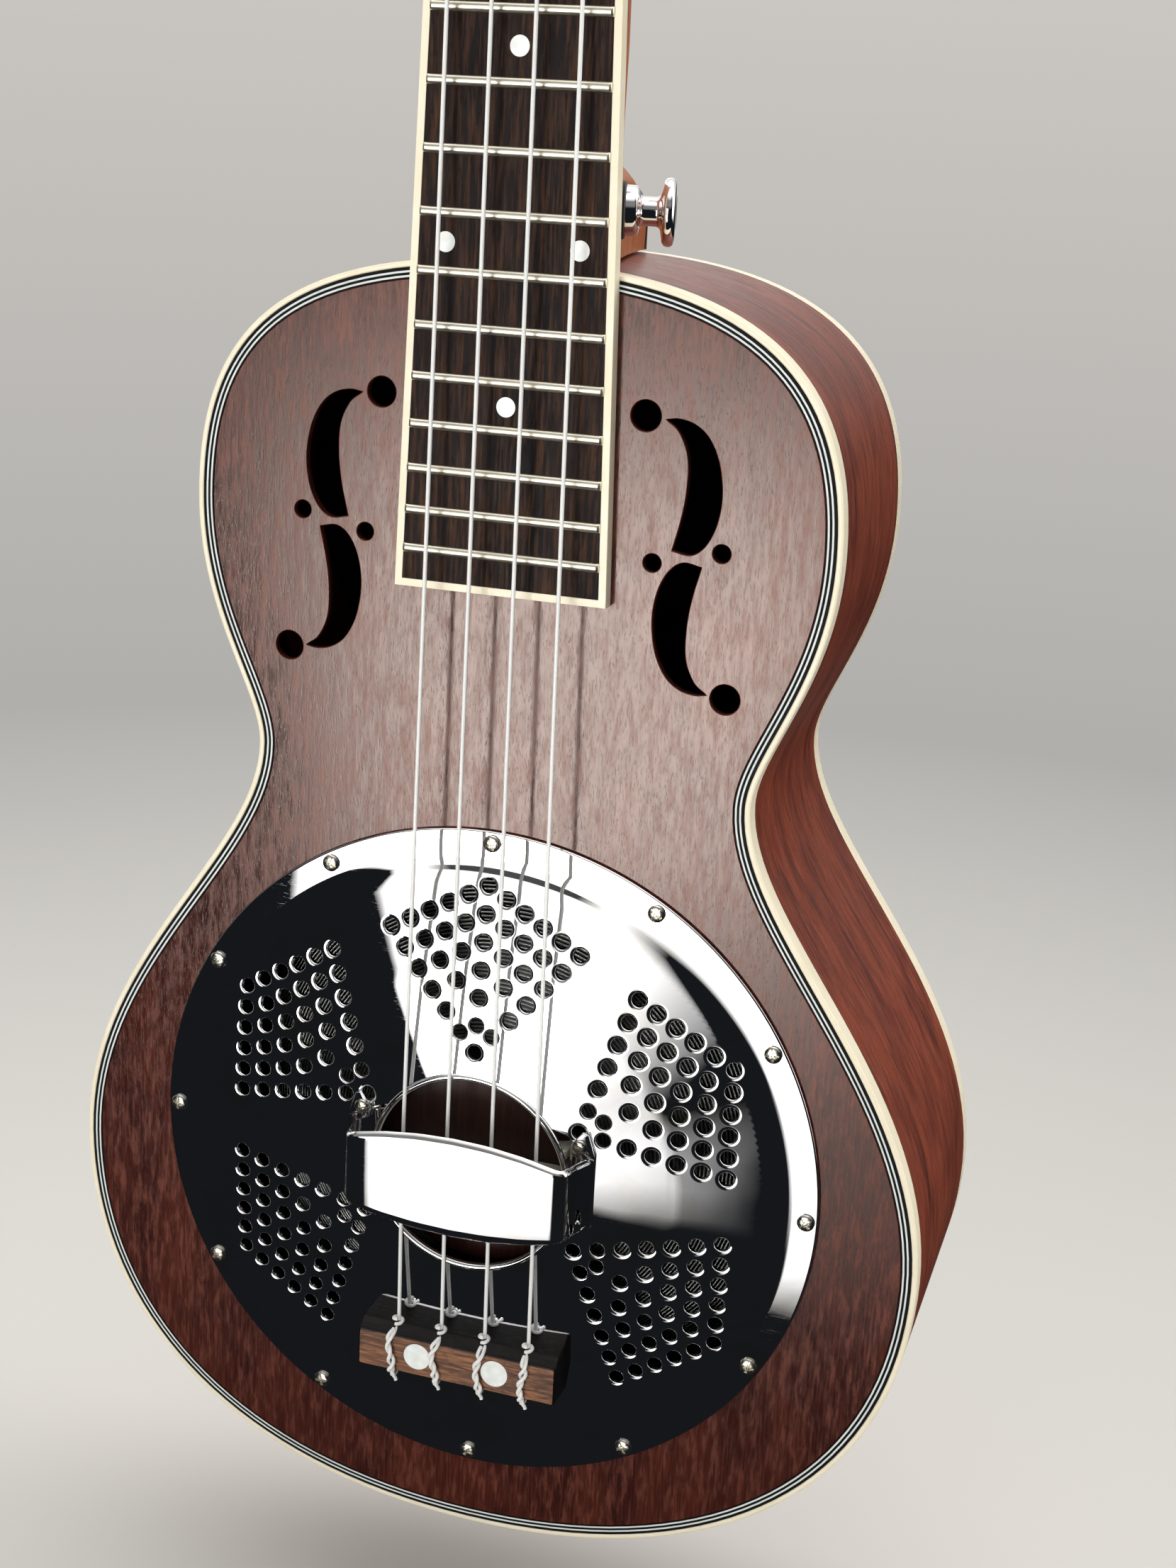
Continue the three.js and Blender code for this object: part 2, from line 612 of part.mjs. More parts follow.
function neckLoop([z, depth, endHalfWidth, roundness]) {
  const width = boardHalfWidth(Math.min(z, SCALE_LENGTH)) - 0.2;
  const right = Array.from({ length: NECK_SIDE_POINTS + 1 }, (_, i) => {
    const angle = Math.PI / 2 * i / NECK_SIDE_POINTS;
    const across = Math.pow(Math.cos(angle), 2 / roundness);
    const back = Math.pow(Math.sin(angle), 2 / roundness);
    const x = endHalfWidth + (width - endHalfWidth) * across;
    return new THREE.Vector3(x, TOP_Y + depth * back, z);
  });
  const left = right.map((p) => new THREE.Vector3(-p.x, p.y, p.z)).reverse();
  return right.concat(left);
}

function headShape(inset) {
  const half = [v2(16.6, 0), v2(17.2, 8), v2(22.5, 22), v2(24.5, 40), v2(26.5, 84),
    v2(27.6, 108), v2(24, 118), v2(12, 121), v2(0, HEAD_LENGTH)];
  const path = new THREE.Path();
  path.moveTo(half[0].x, half[0].y);
  path.splineThru(half.slice(1, 6));
  path.splineThru(half.slice(6));
  const right = path.getPoints(3).filter((p) => p.x > 0.05);
  const raised = right.map((p) => v2(p.x - inset, Math.max(p.y, inset)));
  const left = raised.map((p) => v2(-p.x, p.y)).reverse();
  return new THREE.Shape(raised.concat([v2(0, HEAD_LENGTH - inset)], left));
}

function intoHead(geometry) {
  return geometry.rotateX(-HEAD_TILT).translate(0, HEAD_Y, HEAD_Z);
}

function postHoles() {
  return TUNERS.map(([side, z]) => rod(POST_BORE_RADIUS, -4, 20, 10, side * POST_X, z));
}

function addNeck() {
  const shaft = loft(NECK_STATIONS.map(neckLoop));
  const head = intoHead(slab(headShape(0), VENEER + GAP, HEAD_BACK_Y));
  const bores = postHoles().map(intoHead);
  part('neck', cut(join(shaft, head), ...bores), neckMahogany);

  part('fingerboard', slab(new THREE.Shape(boardShape(BOARD_BINDING + GAP)), BOARD_Y,
    TOP_Y - GAP), rosewood);
  const rim = boardShape(0);
  const inner = boardShape(BOARD_BINDING);
  const u = [rim[3], rim[0], rim[1], rim[2], inner[2], inner[1], inner[0], inner[3]];
  part('fingerboard_binding', slab(new THREE.Shape(u), BOARD_Y, TOP_Y - GAP), ivory);
  part('nut', block(-NUT_WIDTH / 2, NUT_WIDTH / 2, STRING_NUT_Y + STRING_RADIUS + GAP,
    TOP_Y - GAP, SCALE_LENGTH + GAP, SCALE_LENGTH + 4.4), bone);
  const wide = HEEL_END_HALF_WIDTH;
  const cap = shapeOf([[-wide, BODY_JOINT_Z], [wide, BODY_JOINT_Z], [wide, 203],
    [wide - 2.5, 207], [2.5 - wide, 207], [-wide, 203]]);
  const capFront = TOP_Y + HEEL_DEPTH + GAP;
  part('heel_cap', slab(cap, capFront, capFront + HEEL_CAP), rosewood);
  const veneer = cut(slab(headShape(0), 0, VENEER), ...postHoles());
  part('headstock_veneer', intoHead(veneer), rosewood);
}

// ---------------------------------------------------------------- strap buttons

// A mushroom button standing on y = 0 and pointing to negative y.
function strapButton() {
  const profile = [[0, 0], [4.9, 0], [4.7, -1.6], [3, -3], [2.7, -5.2], [4.4, -7.2],
    [6.65, -8], [6.4, -9.3], [4.6, -9.9], [0, -9.9]];
  return turned(profile.reverse(), 14);
}

function feltWasher() {
  return turned([[0, 0.3], [5.6, 0.3], [5.6, 1.1], [0, 1.1]], 14);
}

function onHeel(geometry) {
  return geometry.translate(0, -1.5, 0).rotateZ(Math.PI / 2 + HEEL_FLANK_ANGLE)
    .translate(HEEL_BUTTON_SEAT.x, HEEL_BUTTON_SEAT.y, HEEL_BUTTON_SEAT.z);
}

function onTail(geometry) {
  return geometry.rotateX(Math.PI / 2).translate(0, TAIL_BUTTON_Y, OUTLINE_BOTTOM - 1.5);
}

function addStrapButtons() {
  part('strap_button_heel', onHeel(strapButton()), chrome);
  part('strap_button_heel_washer', onHeel(feltWasher()), blackFelt);
  part('strap_button_tail', onTail(strapButton()), chrome);
  part('strap_button_tail_washer', onTail(feltWasher()), blackFelt);
}

// ---------------------------------------------------------------- tuners

function gearWheel() {
  const points = [];
  const root = GEAR_PITCH_RADIUS - 0.8;
  const tip = GEAR_PITCH_RADIUS + 0.4;
  for (let i = 0; i < GEAR_TEETH; i += 1) {
    const middle = -Math.PI / 2 + 2 * Math.PI * i / GEAR_TEETH;
    for (const [radius, half] of [[root, -0.5], [tip, -0.22], [tip, 0.22], [root, 0.5]]) {
      const angle = middle + half / radius;
      points.push(v2(radius * Math.cos(angle), radius * Math.sin(angle)));
    }
  }
  const y0 = GEAR_Y - GEAR_WIDTH / 2;
  const y1 = GEAR_Y + GEAR_WIDTH / 2;
  return cut(slab(new THREE.Shape(points), y0, y1), rod(GEAR_BORE_RADIUS, y0 - 1, y1 + 1, 8));
}

// A right-hand screw thread about the x axis, with a gap facing +z at x = 0.
function wormThread() {
  const pitch = 2 * Math.PI * GEAR_PITCH_RADIUS / GEAR_TEETH;
  const perTurn = 8;
  const steps = WORM_TURNS * perTurn;
  const rootRadius = WORM_CORE_RADIUS - 0.25;
  const loops = Array.from({ length: steps + 1 }, (_, i) => {
    const turn = i / perTurn - WORM_TURNS / 2;
    const middle = pitch * (turn + 0.5);
    const corners = [[rootRadius, -0.52], [WORM_TIP_RADIUS, -0.25], [WORM_TIP_RADIUS, 0.25],
      [rootRadius, 0.52]];
    const angle = 2 * Math.PI * turn;
    return corners.map(([r, x]) => new THREE.Vector3(middle - pitch + x,
      -r * Math.sin(angle), r * Math.cos(angle)));
  });
  return loft(loops);
}

function wormWithShaft(side) {
  const end = (BUTTON_X - POST_X + SHAFT_IN_BUTTON) * side;
  const low = Math.min(end, -WORM_INNER_END * side);
  const high = Math.max(end, -WORM_INNER_END * side);
  const shaft = rod(WORM_CORE_RADIUS, low, high, 9).rotateZ(-Math.PI / 2);
  return join(shaft, wormThread());
}

function tunerPlate(side) {
  const back = PLATE_FRONT_Y + TUNER_PLATE;
  const wormZ = -GEAR_PITCH_RADIUS - WORM_PITCH_RADIUS;
  const base = block(-9.4, 9.4, PLATE_FRONT_Y, back, -13.5, 7.5);
  const ears = [-7.1, 7.1].map((x) => block(x - 1, x + 1, back - 0.2, GEAR_Y + 2.2, wormZ - 2.4,
    wormZ + 2.4));
  const bore = rod(WORM_CORE_RADIUS + 0.35, -12, 12, 10).rotateZ(-Math.PI / 2)
    .translate(0, GEAR_Y, wormZ);
  const postBore = rod(POST_BORE_RADIUS, 0, 30, 10);
  return cut(join(base, ...ears), bore, postBore).translate(side * POST_X, 0, 0);
}

function tunerPost() {
  const shoulder = GEAR_Y - GEAR_WIDTH / 2 - GAP;
  const end = GEAR_Y + GEAR_WIDTH / 2 + 0.8;
  const waist = POST_WAIST_RADIUS;
  const spindle = GEAR_BORE_RADIUS - 0.35;
  const profile = [[0, -9.4], [waist, -9.4], [POST_RADIUS, -8.8], [waist, -6.4], [waist, -3.4],
    [POST_RADIUS, -1.6], [POST_RADIUS, shoulder], [spindle, shoulder], [spindle, end], [0, end]];
  return turned(profile, 10);
}

function tunerButton(side) {
  const l = BUTTON_LENGTH;
  const profile = [[0, 0], [3.6, 0], [5.6, 0.24 * l], [7, 0.5 * l], [6.4, 0.78 * l],
    [4, 0.96 * l], [0, l]];
  const knob = turned(profile, 12).scale(1, 1, BUTTON_FLATNESS);
  const bored = cut(knob, rod(WORM_CORE_RADIUS + GAP, -1, SHAFT_IN_BUTTON + 0.6, 9));
  return bored.rotateZ(-side * Math.PI / 2).rotateX(Math.PI / 2);
}

function addTuners() {
  const head = new THREE.Group();
  head.position.set(0, HEAD_Y, HEAD_Z);
  head.rotation.x = -HEAD_TILT;
  root.add(head);
  TUNERS.forEach(([side, z], i) => {
    const name = `tuner_${i + 1}`;
    const wormZ = z - GEAR_PITCH_RADIUS - WORM_PITCH_RADIUS;
    part(`${name}_plate`, tunerPlate(side), nickel, head).position.z = z;
    part(`${name}_post`, tunerPost(), nickel, head).position.set(side * POST_X, 0, z);
    part(`${name}_gear`, gearWheel(), nickel, head).position.set(side * POST_X, 0, z);
    part(`${name}_worm`, wormWithShaft(side), nickel, head)
      .position.set(side * POST_X, GEAR_Y, wormZ);
    part(`${name}_button`, tunerButton(side), pearloid, head)
      .position.set(side * BUTTON_X, GEAR_Y, wormZ);
  });
}

// ---------------------------------------------------------------- strings

// A point of the headstock frame in the working axes.
function headPoint(x, y, z) {
  return new THREE.Vector3(x, y, z)
    .applyAxisAngle(new THREE.Vector3(1, 0, 0), -HEAD_TILT)
    .add(new THREE.Vector3(0, HEAD_Y, HEAD_Z));
}

function addStrings() {
  TUNERS.forEach(([side, z], i) => {
    const x = STRING_AT_SADDLE[i];
    const nutX = STRING_AT_NUT[i];
    const beside = side * (POST_X - POST_WAIST_RADIUS - STRING_RADIUS - GAP);
    part(`string_${i + 1}`, tubeThrough([
      new THREE.Vector3(x, STRING_TIE_Y + 0.05, -53.2),
      new THREE.Vector3(x, STRING_TIE_Y - 0.2, -38),
      new THREE.Vector3(x, STRING_SADDLE_Y, -1.2),
      new THREE.Vector3(x, STRING_SADDLE_Y, 1.2),
      new THREE.Vector3(nutX, STRING_NUT_Y, SCALE_LENGTH + 0.6),
      new THREE.Vector3(nutX, STRING_NUT_Y + 0.1, SCALE_LENGTH + 4),
      headPoint(beside, STRING_POST_Y, z - 1),
    ], STRING_RADIUS, 6), nylon);
  });
}

addBody();
addFraming();
addResonator();
addNeck();
addStrapButtons();
addTuners();
addStrings();

root.position.copy(HANGER_SEAT).negate();
const group = new THREE.Group();
group.add(root);

export default group;
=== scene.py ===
from math import cos, pi, radians, sin, sqrt

import bmesh
import bpy
import numpy as np
from mathutils import Matrix, Vector
from mathutils.geometry import delaunay_2d_cdt


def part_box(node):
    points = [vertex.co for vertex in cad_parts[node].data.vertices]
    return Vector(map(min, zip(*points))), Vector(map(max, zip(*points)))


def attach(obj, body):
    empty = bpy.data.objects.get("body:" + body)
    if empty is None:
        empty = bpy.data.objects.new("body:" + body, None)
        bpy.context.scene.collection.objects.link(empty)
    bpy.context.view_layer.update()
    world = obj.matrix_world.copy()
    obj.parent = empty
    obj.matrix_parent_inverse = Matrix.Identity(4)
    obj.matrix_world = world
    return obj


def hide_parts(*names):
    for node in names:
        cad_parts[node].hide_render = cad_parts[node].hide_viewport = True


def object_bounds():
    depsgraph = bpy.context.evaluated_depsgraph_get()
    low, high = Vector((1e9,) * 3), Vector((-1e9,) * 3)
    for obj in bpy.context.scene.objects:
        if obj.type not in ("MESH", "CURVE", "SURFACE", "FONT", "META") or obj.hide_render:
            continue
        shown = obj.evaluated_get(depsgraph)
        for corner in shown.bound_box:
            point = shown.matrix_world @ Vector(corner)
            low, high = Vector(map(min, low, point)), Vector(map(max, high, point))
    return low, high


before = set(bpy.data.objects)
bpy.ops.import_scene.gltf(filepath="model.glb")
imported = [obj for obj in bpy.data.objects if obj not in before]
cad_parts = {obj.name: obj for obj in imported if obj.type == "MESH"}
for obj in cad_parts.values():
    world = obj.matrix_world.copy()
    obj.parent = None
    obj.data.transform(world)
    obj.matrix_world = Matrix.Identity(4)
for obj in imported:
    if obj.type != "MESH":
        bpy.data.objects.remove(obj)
cad_low, cad_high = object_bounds()

# Working axes, in millimetres: x towards the treble side, y from the front of the instrument to
# its back, z up the neck. y = 0 is the plane of the fret tops, z = 0 the middle of the saddle.
FRET_HEIGHT = 0.9
SADDLE_LOW, SADDLE_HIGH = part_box("saddle")
BOARD_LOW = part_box("fingerboard_binding")[0]
ORIGIN = np.array([0, BOARD_LOW.y * 1000 - FRET_HEIGHT, (SADDLE_LOW.z + SADDLE_HIGH.z) * 500])

# -------- sizes

SCALE_LENGTH = 381
FRETS = 18
TOP_Y = 4.2
PLATE = 2
SIDE = 2
SIDE_GAP = 0.02           # under the binding, and between the two sides at both ends
BINDING_WIDTH = 1.25
BINDING_HEIGHT = 4.8
DEPTH_AT_SADDLE = 70
DEPTH_SLOPE = -0.036
PURFLING_LINES = [0.62, 0.4, 0.52, 0.4, 0.3]      # widths from the binding inwards, black first
OUTLINE_TOP = 193.4
OUTLINE_BOTTOM = -94.8

RESONATOR_Z = -1.1
RESONATOR_AXIS = (0, RESONATOR_Z)
COVER_RADIUS = 76.5
COVER_OPENING = 21.8
COVER_THICKNESS = 0.8
BEAD = 1.5                # width of the rolled edge of the opening
DOME_RADIUS = 67.6
COVER_PROFILE = [(21.8, -4.1), (25, -3.7), (46, -1.3), (66.2, 1.9), (69.8, 3.1), (76.5, 3.1)]
WELL_RADIUS = 70.3
PERFORATION_RADIUS = 1.62
KITE_TURNS = [0, 60, -60, 120, -120]
KITE_ROWS = [5, 4, 3, 2, 1, 1, 0]         # perforations on each side of a row's apex
# First value and step per row: the apex's and the ends' distance out, the ends' distance aside.
KITE_LINES = [(64.8, -6.1), (52.8, -4.1), (21.6, -3.6)]
RIM_RADIUS = 2.42
RIM_DROP = [(0, 0), (0.12, 0.005), (0.3, 0.024), (0.5, 0.056), (0.7, 0.1), (0.85, 0.155),
            (0.95, 0.24), (1.03, 0.38), (1.1, 0.6), (1.14, 1.0)]
CONE_PROFILE = [(0, 9), (25, 9), (45, 16.4), (64, 23.9), (66, 24.9), (69.5, 24.9)]
CONE_THICKNESS = 0.6
GROOVE_PITCH = 0.8
GROOVE_DEPTH = 0.1
COVER_SCREWS = 12
COVER_SCREW_CIRCLE = 73.86
BISCUIT_PROFILE = [(0, 2.5), (23.2, 2.5), (23.8, 2.75), (24, 3.3), (24, 8.7), (0, 8.7)]

BODY_JOINT_Z = OUTLINE_TOP + 0.4
BOARD_END_Z = 126.6
BOARD_END_WIDTH = 45.8
NUT_WIDTH = 33
BOARD_BINDING = 1.6
HEEL_DEPTH = 58
HEEL_FLANK_ANGLE = radians(14.5)

HEAD_TILT = radians(12)
HEAD_Y = 1.6
HEAD_Z = SCALE_LENGTH + 5.3
HEAD_LENGTH = 128
HEAD_BACK_Y = 12.8
VENEER = 1.5

STRING_RADIUS = 0.43
STRING_AT_SADDLE = [-15.0, -4.7, 5.6, 15.9]
STRING_AT_NUT = [-12.8, -4.6, 3.6, 11.8]
STRING_SADDLE_Y = -5.6
STRING_NUT_Y = -1.2
STRING_TIE_Y = -4.6

POST_X = 14.5
POST_WAIST_RADIUS = 2.6
STRING_POST_Y = -5
TUNER_PLACES = [(-1, 38), (-1, 84), (1, 84), (1, 38)]
GEAR_TEETH = 14
GEAR_PITCH_RADIUS = 4.5
GEAR_Y = 17.0
GEAR_WIDTH = 2.4
WORM_DROP = 6.5
WORM_CORE = 1.3
WORM_TIP = 2.5
COLLARS = [-8.25, -5.9, 5.9, 8.25]
EARS = [-7.1, 7.1]
TUNER_PLATE = (-9.4, 9.4, -13.5, 7.5)
PLATE_HOLE_RADIUS = 3.3
POST_BORE_RADIUS = 3.4
PLATE_SCREWS = [(-7.1, 5.2), (7.1, 5.2), (-7.1, -11.6), (7.1, -11.6)]
PLATE_FRONT_Y = 13.1
PLATE_BACK_Y = 14.1
BUTTON_X = 31
BUTTON_LENGTH = 15

# -------- mesh tools

TURN = 2 * pi


def stacked(x, y, z):
    return np.stack(np.broadcast_arrays(x, y, z), -1).astype(float)


def raised(flat, y):
    """Points of the front plane, given as x and z, at a height y."""
    return stacked(flat[:, 0], y, flat[:, 1])


def unit(vectors):
    return vectors / np.linalg.norm(vectors, axis=-1, keepdims=True)


def skin(loops, caps=True):
    """Quads between neighbouring closed loops of equal length, and a flat cap on each end."""
    loops = np.asarray(loops, float)
    rows, count = loops.shape[:2]
    faces = []
    for i in range(rows - 1):
        for j in range(count):
            a = i * count + j
            b = i * count + (j + 1) % count
            faces.append((a, b, b + count, a + count))
    if caps:
        faces.append(tuple(range(count - 1, -1, -1)))
        faces.append(tuple((rows - 1) * count + j for j in range(count)))
    return loops.reshape(-1, 3), faces


def joined(shells):
    points, faces, base = [], [], 0
    for some_points, some_faces in shells:
        points.append(np.asarray(some_points, float))
        faces += [tuple(base + i for i in face) for face in some_faces]
        base += len(some_points)
    return np.vstack(points), faces


def moved(shell, change):
    """The shell with its points passed through a function of an array of points."""
    return change(shell[0]), shell[1]


def offset(shell, place):
    return moved(shell, lambda points: points + place)


def along_x(shell):
    """Swaps x and y, so that what was turned about the y axis lies along x."""
    return moved(shell, lambda points: points[:, [1, 0, 2]])


def flipped(shell):
    """Mirrors front and back, so that a screw head faces the back."""
    return moved(shell, lambda points: points * (1, -1, 1))


def ring(radius, y, count, x=0.0, z=0.0):
    angle = np.linspace(0, TURN, count, endpoint=False)
    return stacked(x + radius * np.sin(angle), y, z + radius * np.cos(angle))


def lathe(profile, count, x=0.0, z=0.0):
    """Pairs of radius and y turned about the y axis."""
    return skin([ring(r, y, count, x, z) for r, y in profile], caps=False)


def curve_through(points, steps):
    """A Catmull-Rom curve through the points, with a number of steps on each span."""
    p = np.asarray(points, float)
    p = np.vstack([2 * p[0] - p[1], p, 2 * p[-1] - p[-2]])
    t = np.linspace(0, 1, steps, endpoint=False)[:, None]
    spans = []
    for a, b, c, d in zip(p, p[1:], p[2:], p[3:]):
        spans.append((2 * b + (c - a) * t + (2 * a - 5 * b + 4 * c - d) * t ** 2
                      + (3 * b - a - 3 * c + d) * t ** 3) / 2)
    return np.vstack(spans + [p[-2][None]])


def tube(path, radius, sides=12):
    """A round tube along a path; the radius is one number or one for each point."""
    path = np.asarray(path, float)
    radii = np.broadcast_to(radius, len(path))
    along = unit(np.gradient(path, axis=0))
    up = np.cross(along[0], (0.35, 0.2, 0.9))
    angle = np.linspace(0, TURN, sides, endpoint=False)[:, None]
    loops = []
    for point, direction, r in zip(path, along, radii):
        up = unit(up - direction * (up @ direction))
        side = np.cross(direction, up)
        loops.append(point + r * (np.cos(angle) * up + np.sin(angle) * side))
    return skin(loops)


def turned_to(loop, sign):
    """The loop of x and z pairs, counter-clockwise for sign 1 and clockwise for -1."""
    x, z = loop[:, 0], loop[:, 1]
    area = np.sum(x * np.roll(z, -1) - z * np.roll(x, -1))
    return loop if area * sign > 0 else loop[::-1]


def shifted(loop, distance):
    """Moves a closed loop to its left by a distance, mitred at its corners."""
    edge = unit(np.roll(loop, -1, 0) - loop)
    left = np.stack([-edge[:, 1], edge[:, 0]], 1)
    mean = unit(left + np.roll(left, 1, 0))
    reach = np.clip(np.sum(mean * left, axis=1), 0.45, 1)[:, None]
    return loop + mean / reach * distance


def inside(points, loops):
    """True for each point with an odd number of loop edges on its right."""
    crossed = np.zeros(len(points), int)
    px, pz = points[:, :1], points[:, 1:]
    for loop in loops:
        (x0, z0), (x1, z1) = loop.T, np.roll(loop, -1, 0).T
        rise = np.where(z1 == z0, 1, z1 - z0)
        between = (z0 > pz) != (z1 > pz)
        crossed += (between & (px < x0 + (pz - z0) * (x1 - x0) / rise)).sum(1)
    return crossed % 2 == 1


def filled(loops, inner_points=()):
    """Triangles between an outer loop and the holes in it."""
    points = [Vector(p) for loop in loops for p in loop] + [Vector(p) for p in inner_points]
    edges, base = [], 0
    for loop in loops:
        count = len(loop)
        edges += [(base + i, base + (i + 1) % count) for i in range(count)]
        base += count
    found = delaunay_2d_cdt(points, edges, [], 0, 1e-6)
    flat = np.array([tuple(p) for p in found[0]])
    triangles = np.array([tuple(face) for face in found[2]])
    kept = inside(flat[triangles].mean(1), loops)
    return flat, triangles[kept].tolist()


def level(surface, flat):
    """The y of a surface over points of the front plane."""
    return surface(flat[:, 0], flat[:, 1]) if callable(surface) else surface


def slab(outer, holes, front, back, edge=0.25, steps=3):
    """A plate between two surfaces, given as y or as functions of x and z, with rounded rims."""
    loops = [turned_to(np.asarray(outer, float), 1)]
    loops += [turned_to(np.asarray(hole, float), -1) for hole in holes]
    turn = np.linspace(0, pi / 2, steps + 1)
    insets, sinks = edge * (1 - np.cos(turn)), edge * (1 - np.sin(turn))
    rounding = [(front, inset, sink) for inset, sink in zip(insets, sinks)][::-1]
    rounding += [(back, inset, -sink) for inset, sink in zip(insets, sinks)]
    shells = []
    for loop in loops:
        rows = []
        for surface, inset, sink in rounding:
            flat = shifted(loop, inset)
            rows.append(raised(flat, level(surface, flat) + sink))
        shells.append(skin(rows, caps=False))
    flat, triangles = filled([shifted(loop, edge) for loop in loops])
    for surface in (front, back):
        shells.append((raised(flat, level(surface, flat)), triangles))
    return joined(shells)


def circle(radius, count, x=0.0, z=0.0):
    return ring(radius, 0, count, x, z)[:, [0, 2]]


def disc(radius, front, back, x, z, edge):
    return lathe([(0, front), (radius - edge, front), (radius, front + edge), (radius, back),
                  (0, back)], 40, x, z)


def rounded_rectangle(x0, x1, z0, z1, radius):
    corner = pi / 2 * (np.arange(4)[:, None] + 0.5)
    angle = corner + np.linspace(-pi / 4, pi / 4, 6)
    reach_x, reach_z = (x1 - x0) / 2 - radius, (z1 - z0) / 2 - radius
    x = (x0 + x1) / 2 + np.sign(np.cos(corner)) * reach_x + radius * np.cos(angle)
    z = (z0 + z1) / 2 + np.sign(np.sin(corner)) * reach_z + radius * np.sin(angle)
    return np.stack([x.ravel(), z.ravel()], 1)


MERGE = 2e-6              # metres
SAME_HEIGHT = 0.004       # millimetres


def add_object(name, data):
    added = bpy.data.objects.new(name, data)
    bpy.context.scene.collection.objects.link(added)
    return added


def make(name, shells, material, node=None, body="instrument", sharp=35, flats=True):
    """One finished piece from shells in working millimetres, in place of a node of the frame.

    With flats its flat faces keep their own normals. Its slot follows from its material."""
    points, faces = joined(shells)
    mesh = bpy.data.meshes.new(name)
    mesh.from_pydata(((points + ORIGIN) / 1000).tolist(), [], faces)
    made = bmesh.new()
    made.from_mesh(mesh)
    bmesh.ops.remove_doubles(made, verts=made.verts, dist=MERGE)
    bmesh.ops.recalc_face_normals(made, faces=made.faces)
    made.to_mesh(mesh)
    made.free()
    mesh.shade_smooth()
    mesh.set_sharp_from_angle(angle=radians(sharp))
    mesh.materials.append(material)
    piece = add_object(name, mesh)
    if flats:
        weighted = piece.modifiers.new("weighted_normals", "WEIGHTED_NORMAL")
        weighted.keep_sharp = True
        weighted.weight = 100
    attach(piece, body)
    if node:
        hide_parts(node)
    return piece


def set_normals(mesh, chosen, exact, likeness):
    """Gives the chosen vertices exact normals on every face that already leans much that way."""
    normals = np.array([tuple(n.vector) for n in mesh.corner_normals])
    corners = np.array([loop.vertex_index for loop in mesh.loops])
    exact = exact[corners]
    wanted = chosen[corners] & (np.sum(normals * exact, axis=1) > likeness)
    normals[wanted] = exact[wanted]
    mesh.normals_split_custom_set(normals.tolist())


def level_front(piece, y):
    """Shades the flat front of a slab as flat right up to its rounded rims."""
    mesh = piece.data
    heights = np.array([v.co.y for v in mesh.vertices]) * 1000 - ORIGIN[1]
    ahead = np.tile((0.0, -1.0, 0.0), (len(heights), 1))
    set_normals(mesh, np.abs(heights - y) < SAME_HEIGHT, ahead, 0.5)


# -------- materials


class Tree:
    """Short calls that add nodes to a material's or the world's node tree."""

    def __init__(self, tree):
        tree.nodes.clear()
        self.nodes = tree.nodes
        self.links = tree.links

    def add(self, kind, inputs=(), output=0, **settings):
        """Adds a node and returns one of its outputs, if it has any."""
        node = self.nodes.new(kind)
        for key, value in settings.items():
            setattr(node, key, value)
        for key, value in dict(inputs).items():
            if isinstance(value, bpy.types.NodeSocket):
                self.links.new(value, node.inputs[key])
            else:
                node.inputs[key].default_value = value
        return node.outputs[output] if node.outputs else None

    def math(self, operation, *values):
        return self.add("ShaderNodeMath", enumerate(values), operation=operation)

    def plus(self, *values):
        total = values[0]
        for value in values[1:]:
            total = self.math("ADD", total, value)
        return total

    def times(self, *values):
        product = values[0]
        for value in values[1:]:
            product = self.math("MULTIPLY", product, value)
        return product

    def split(self, vector):
        node = self.nodes.new("ShaderNodeSeparateXYZ")
        self.links.new(vector, node.inputs[0])
        return tuple(node.outputs)

    def distance(self, a, b):
        return self.math("SQRT", self.plus(self.times(a, a), self.times(b, b)))

    def place(self, scale=(1, 1, 1)):
        """Object coordinates in millimetres, scaled on each axis."""
        place = self.add("ShaderNodeTexCoord", output="Object")
        return self.add("ShaderNodeMapping", {"Vector": place, "Scale": [1000 * s for s in scale]})

    def noise(self, scale, detail=3.0, roughness=0.55, distortion=0.0, output="Fac"):
        settings = {"Vector": self.place(scale), "Scale": 1.0, "Detail": detail,
                    "Roughness": roughness, "Distortion": distortion}
        return self.add("ShaderNodeTexNoise", settings, output)

    def ramp(self, value, low, high, to_low=0.0, to_high=1.0):
        inputs = {"Value": value, "From Min": low, "From Max": high,
                  "To Min": to_low, "To Max": to_high}
        return self.add("ShaderNodeMapRange", inputs, clamp=True)

    def mix(self, share, a, b):
        return self.add("ShaderNodeMix", {0: share, 6: a, 7: b}, 2, data_type="RGBA")

    def bump(self, height, distance_mm, strength=1.0):
        return self.add("ShaderNodeBump", {"Height": height, "Distance": distance_mm / 1000,
                                           "Strength": strength})

    def shade(self, inputs):
        shader = self.add("ShaderNodeBsdfPrincipled", inputs)
        self.add("ShaderNodeOutputMaterial", {"Surface": shader})


def rgb(red, green, blue):
    """A colour from 8-bit display values."""
    def linear(value):
        share = value / 255
        return share / 12.92 if share <= 0.04045 else ((share + 0.055) / 1.055) ** 2.4
    return (linear(red), linear(green), linear(blue), 1.0)


def new_tree(name):
    material = bpy.data.materials.new(name)
    material.use_nodes = True
    return material, Tree(material.node_tree)


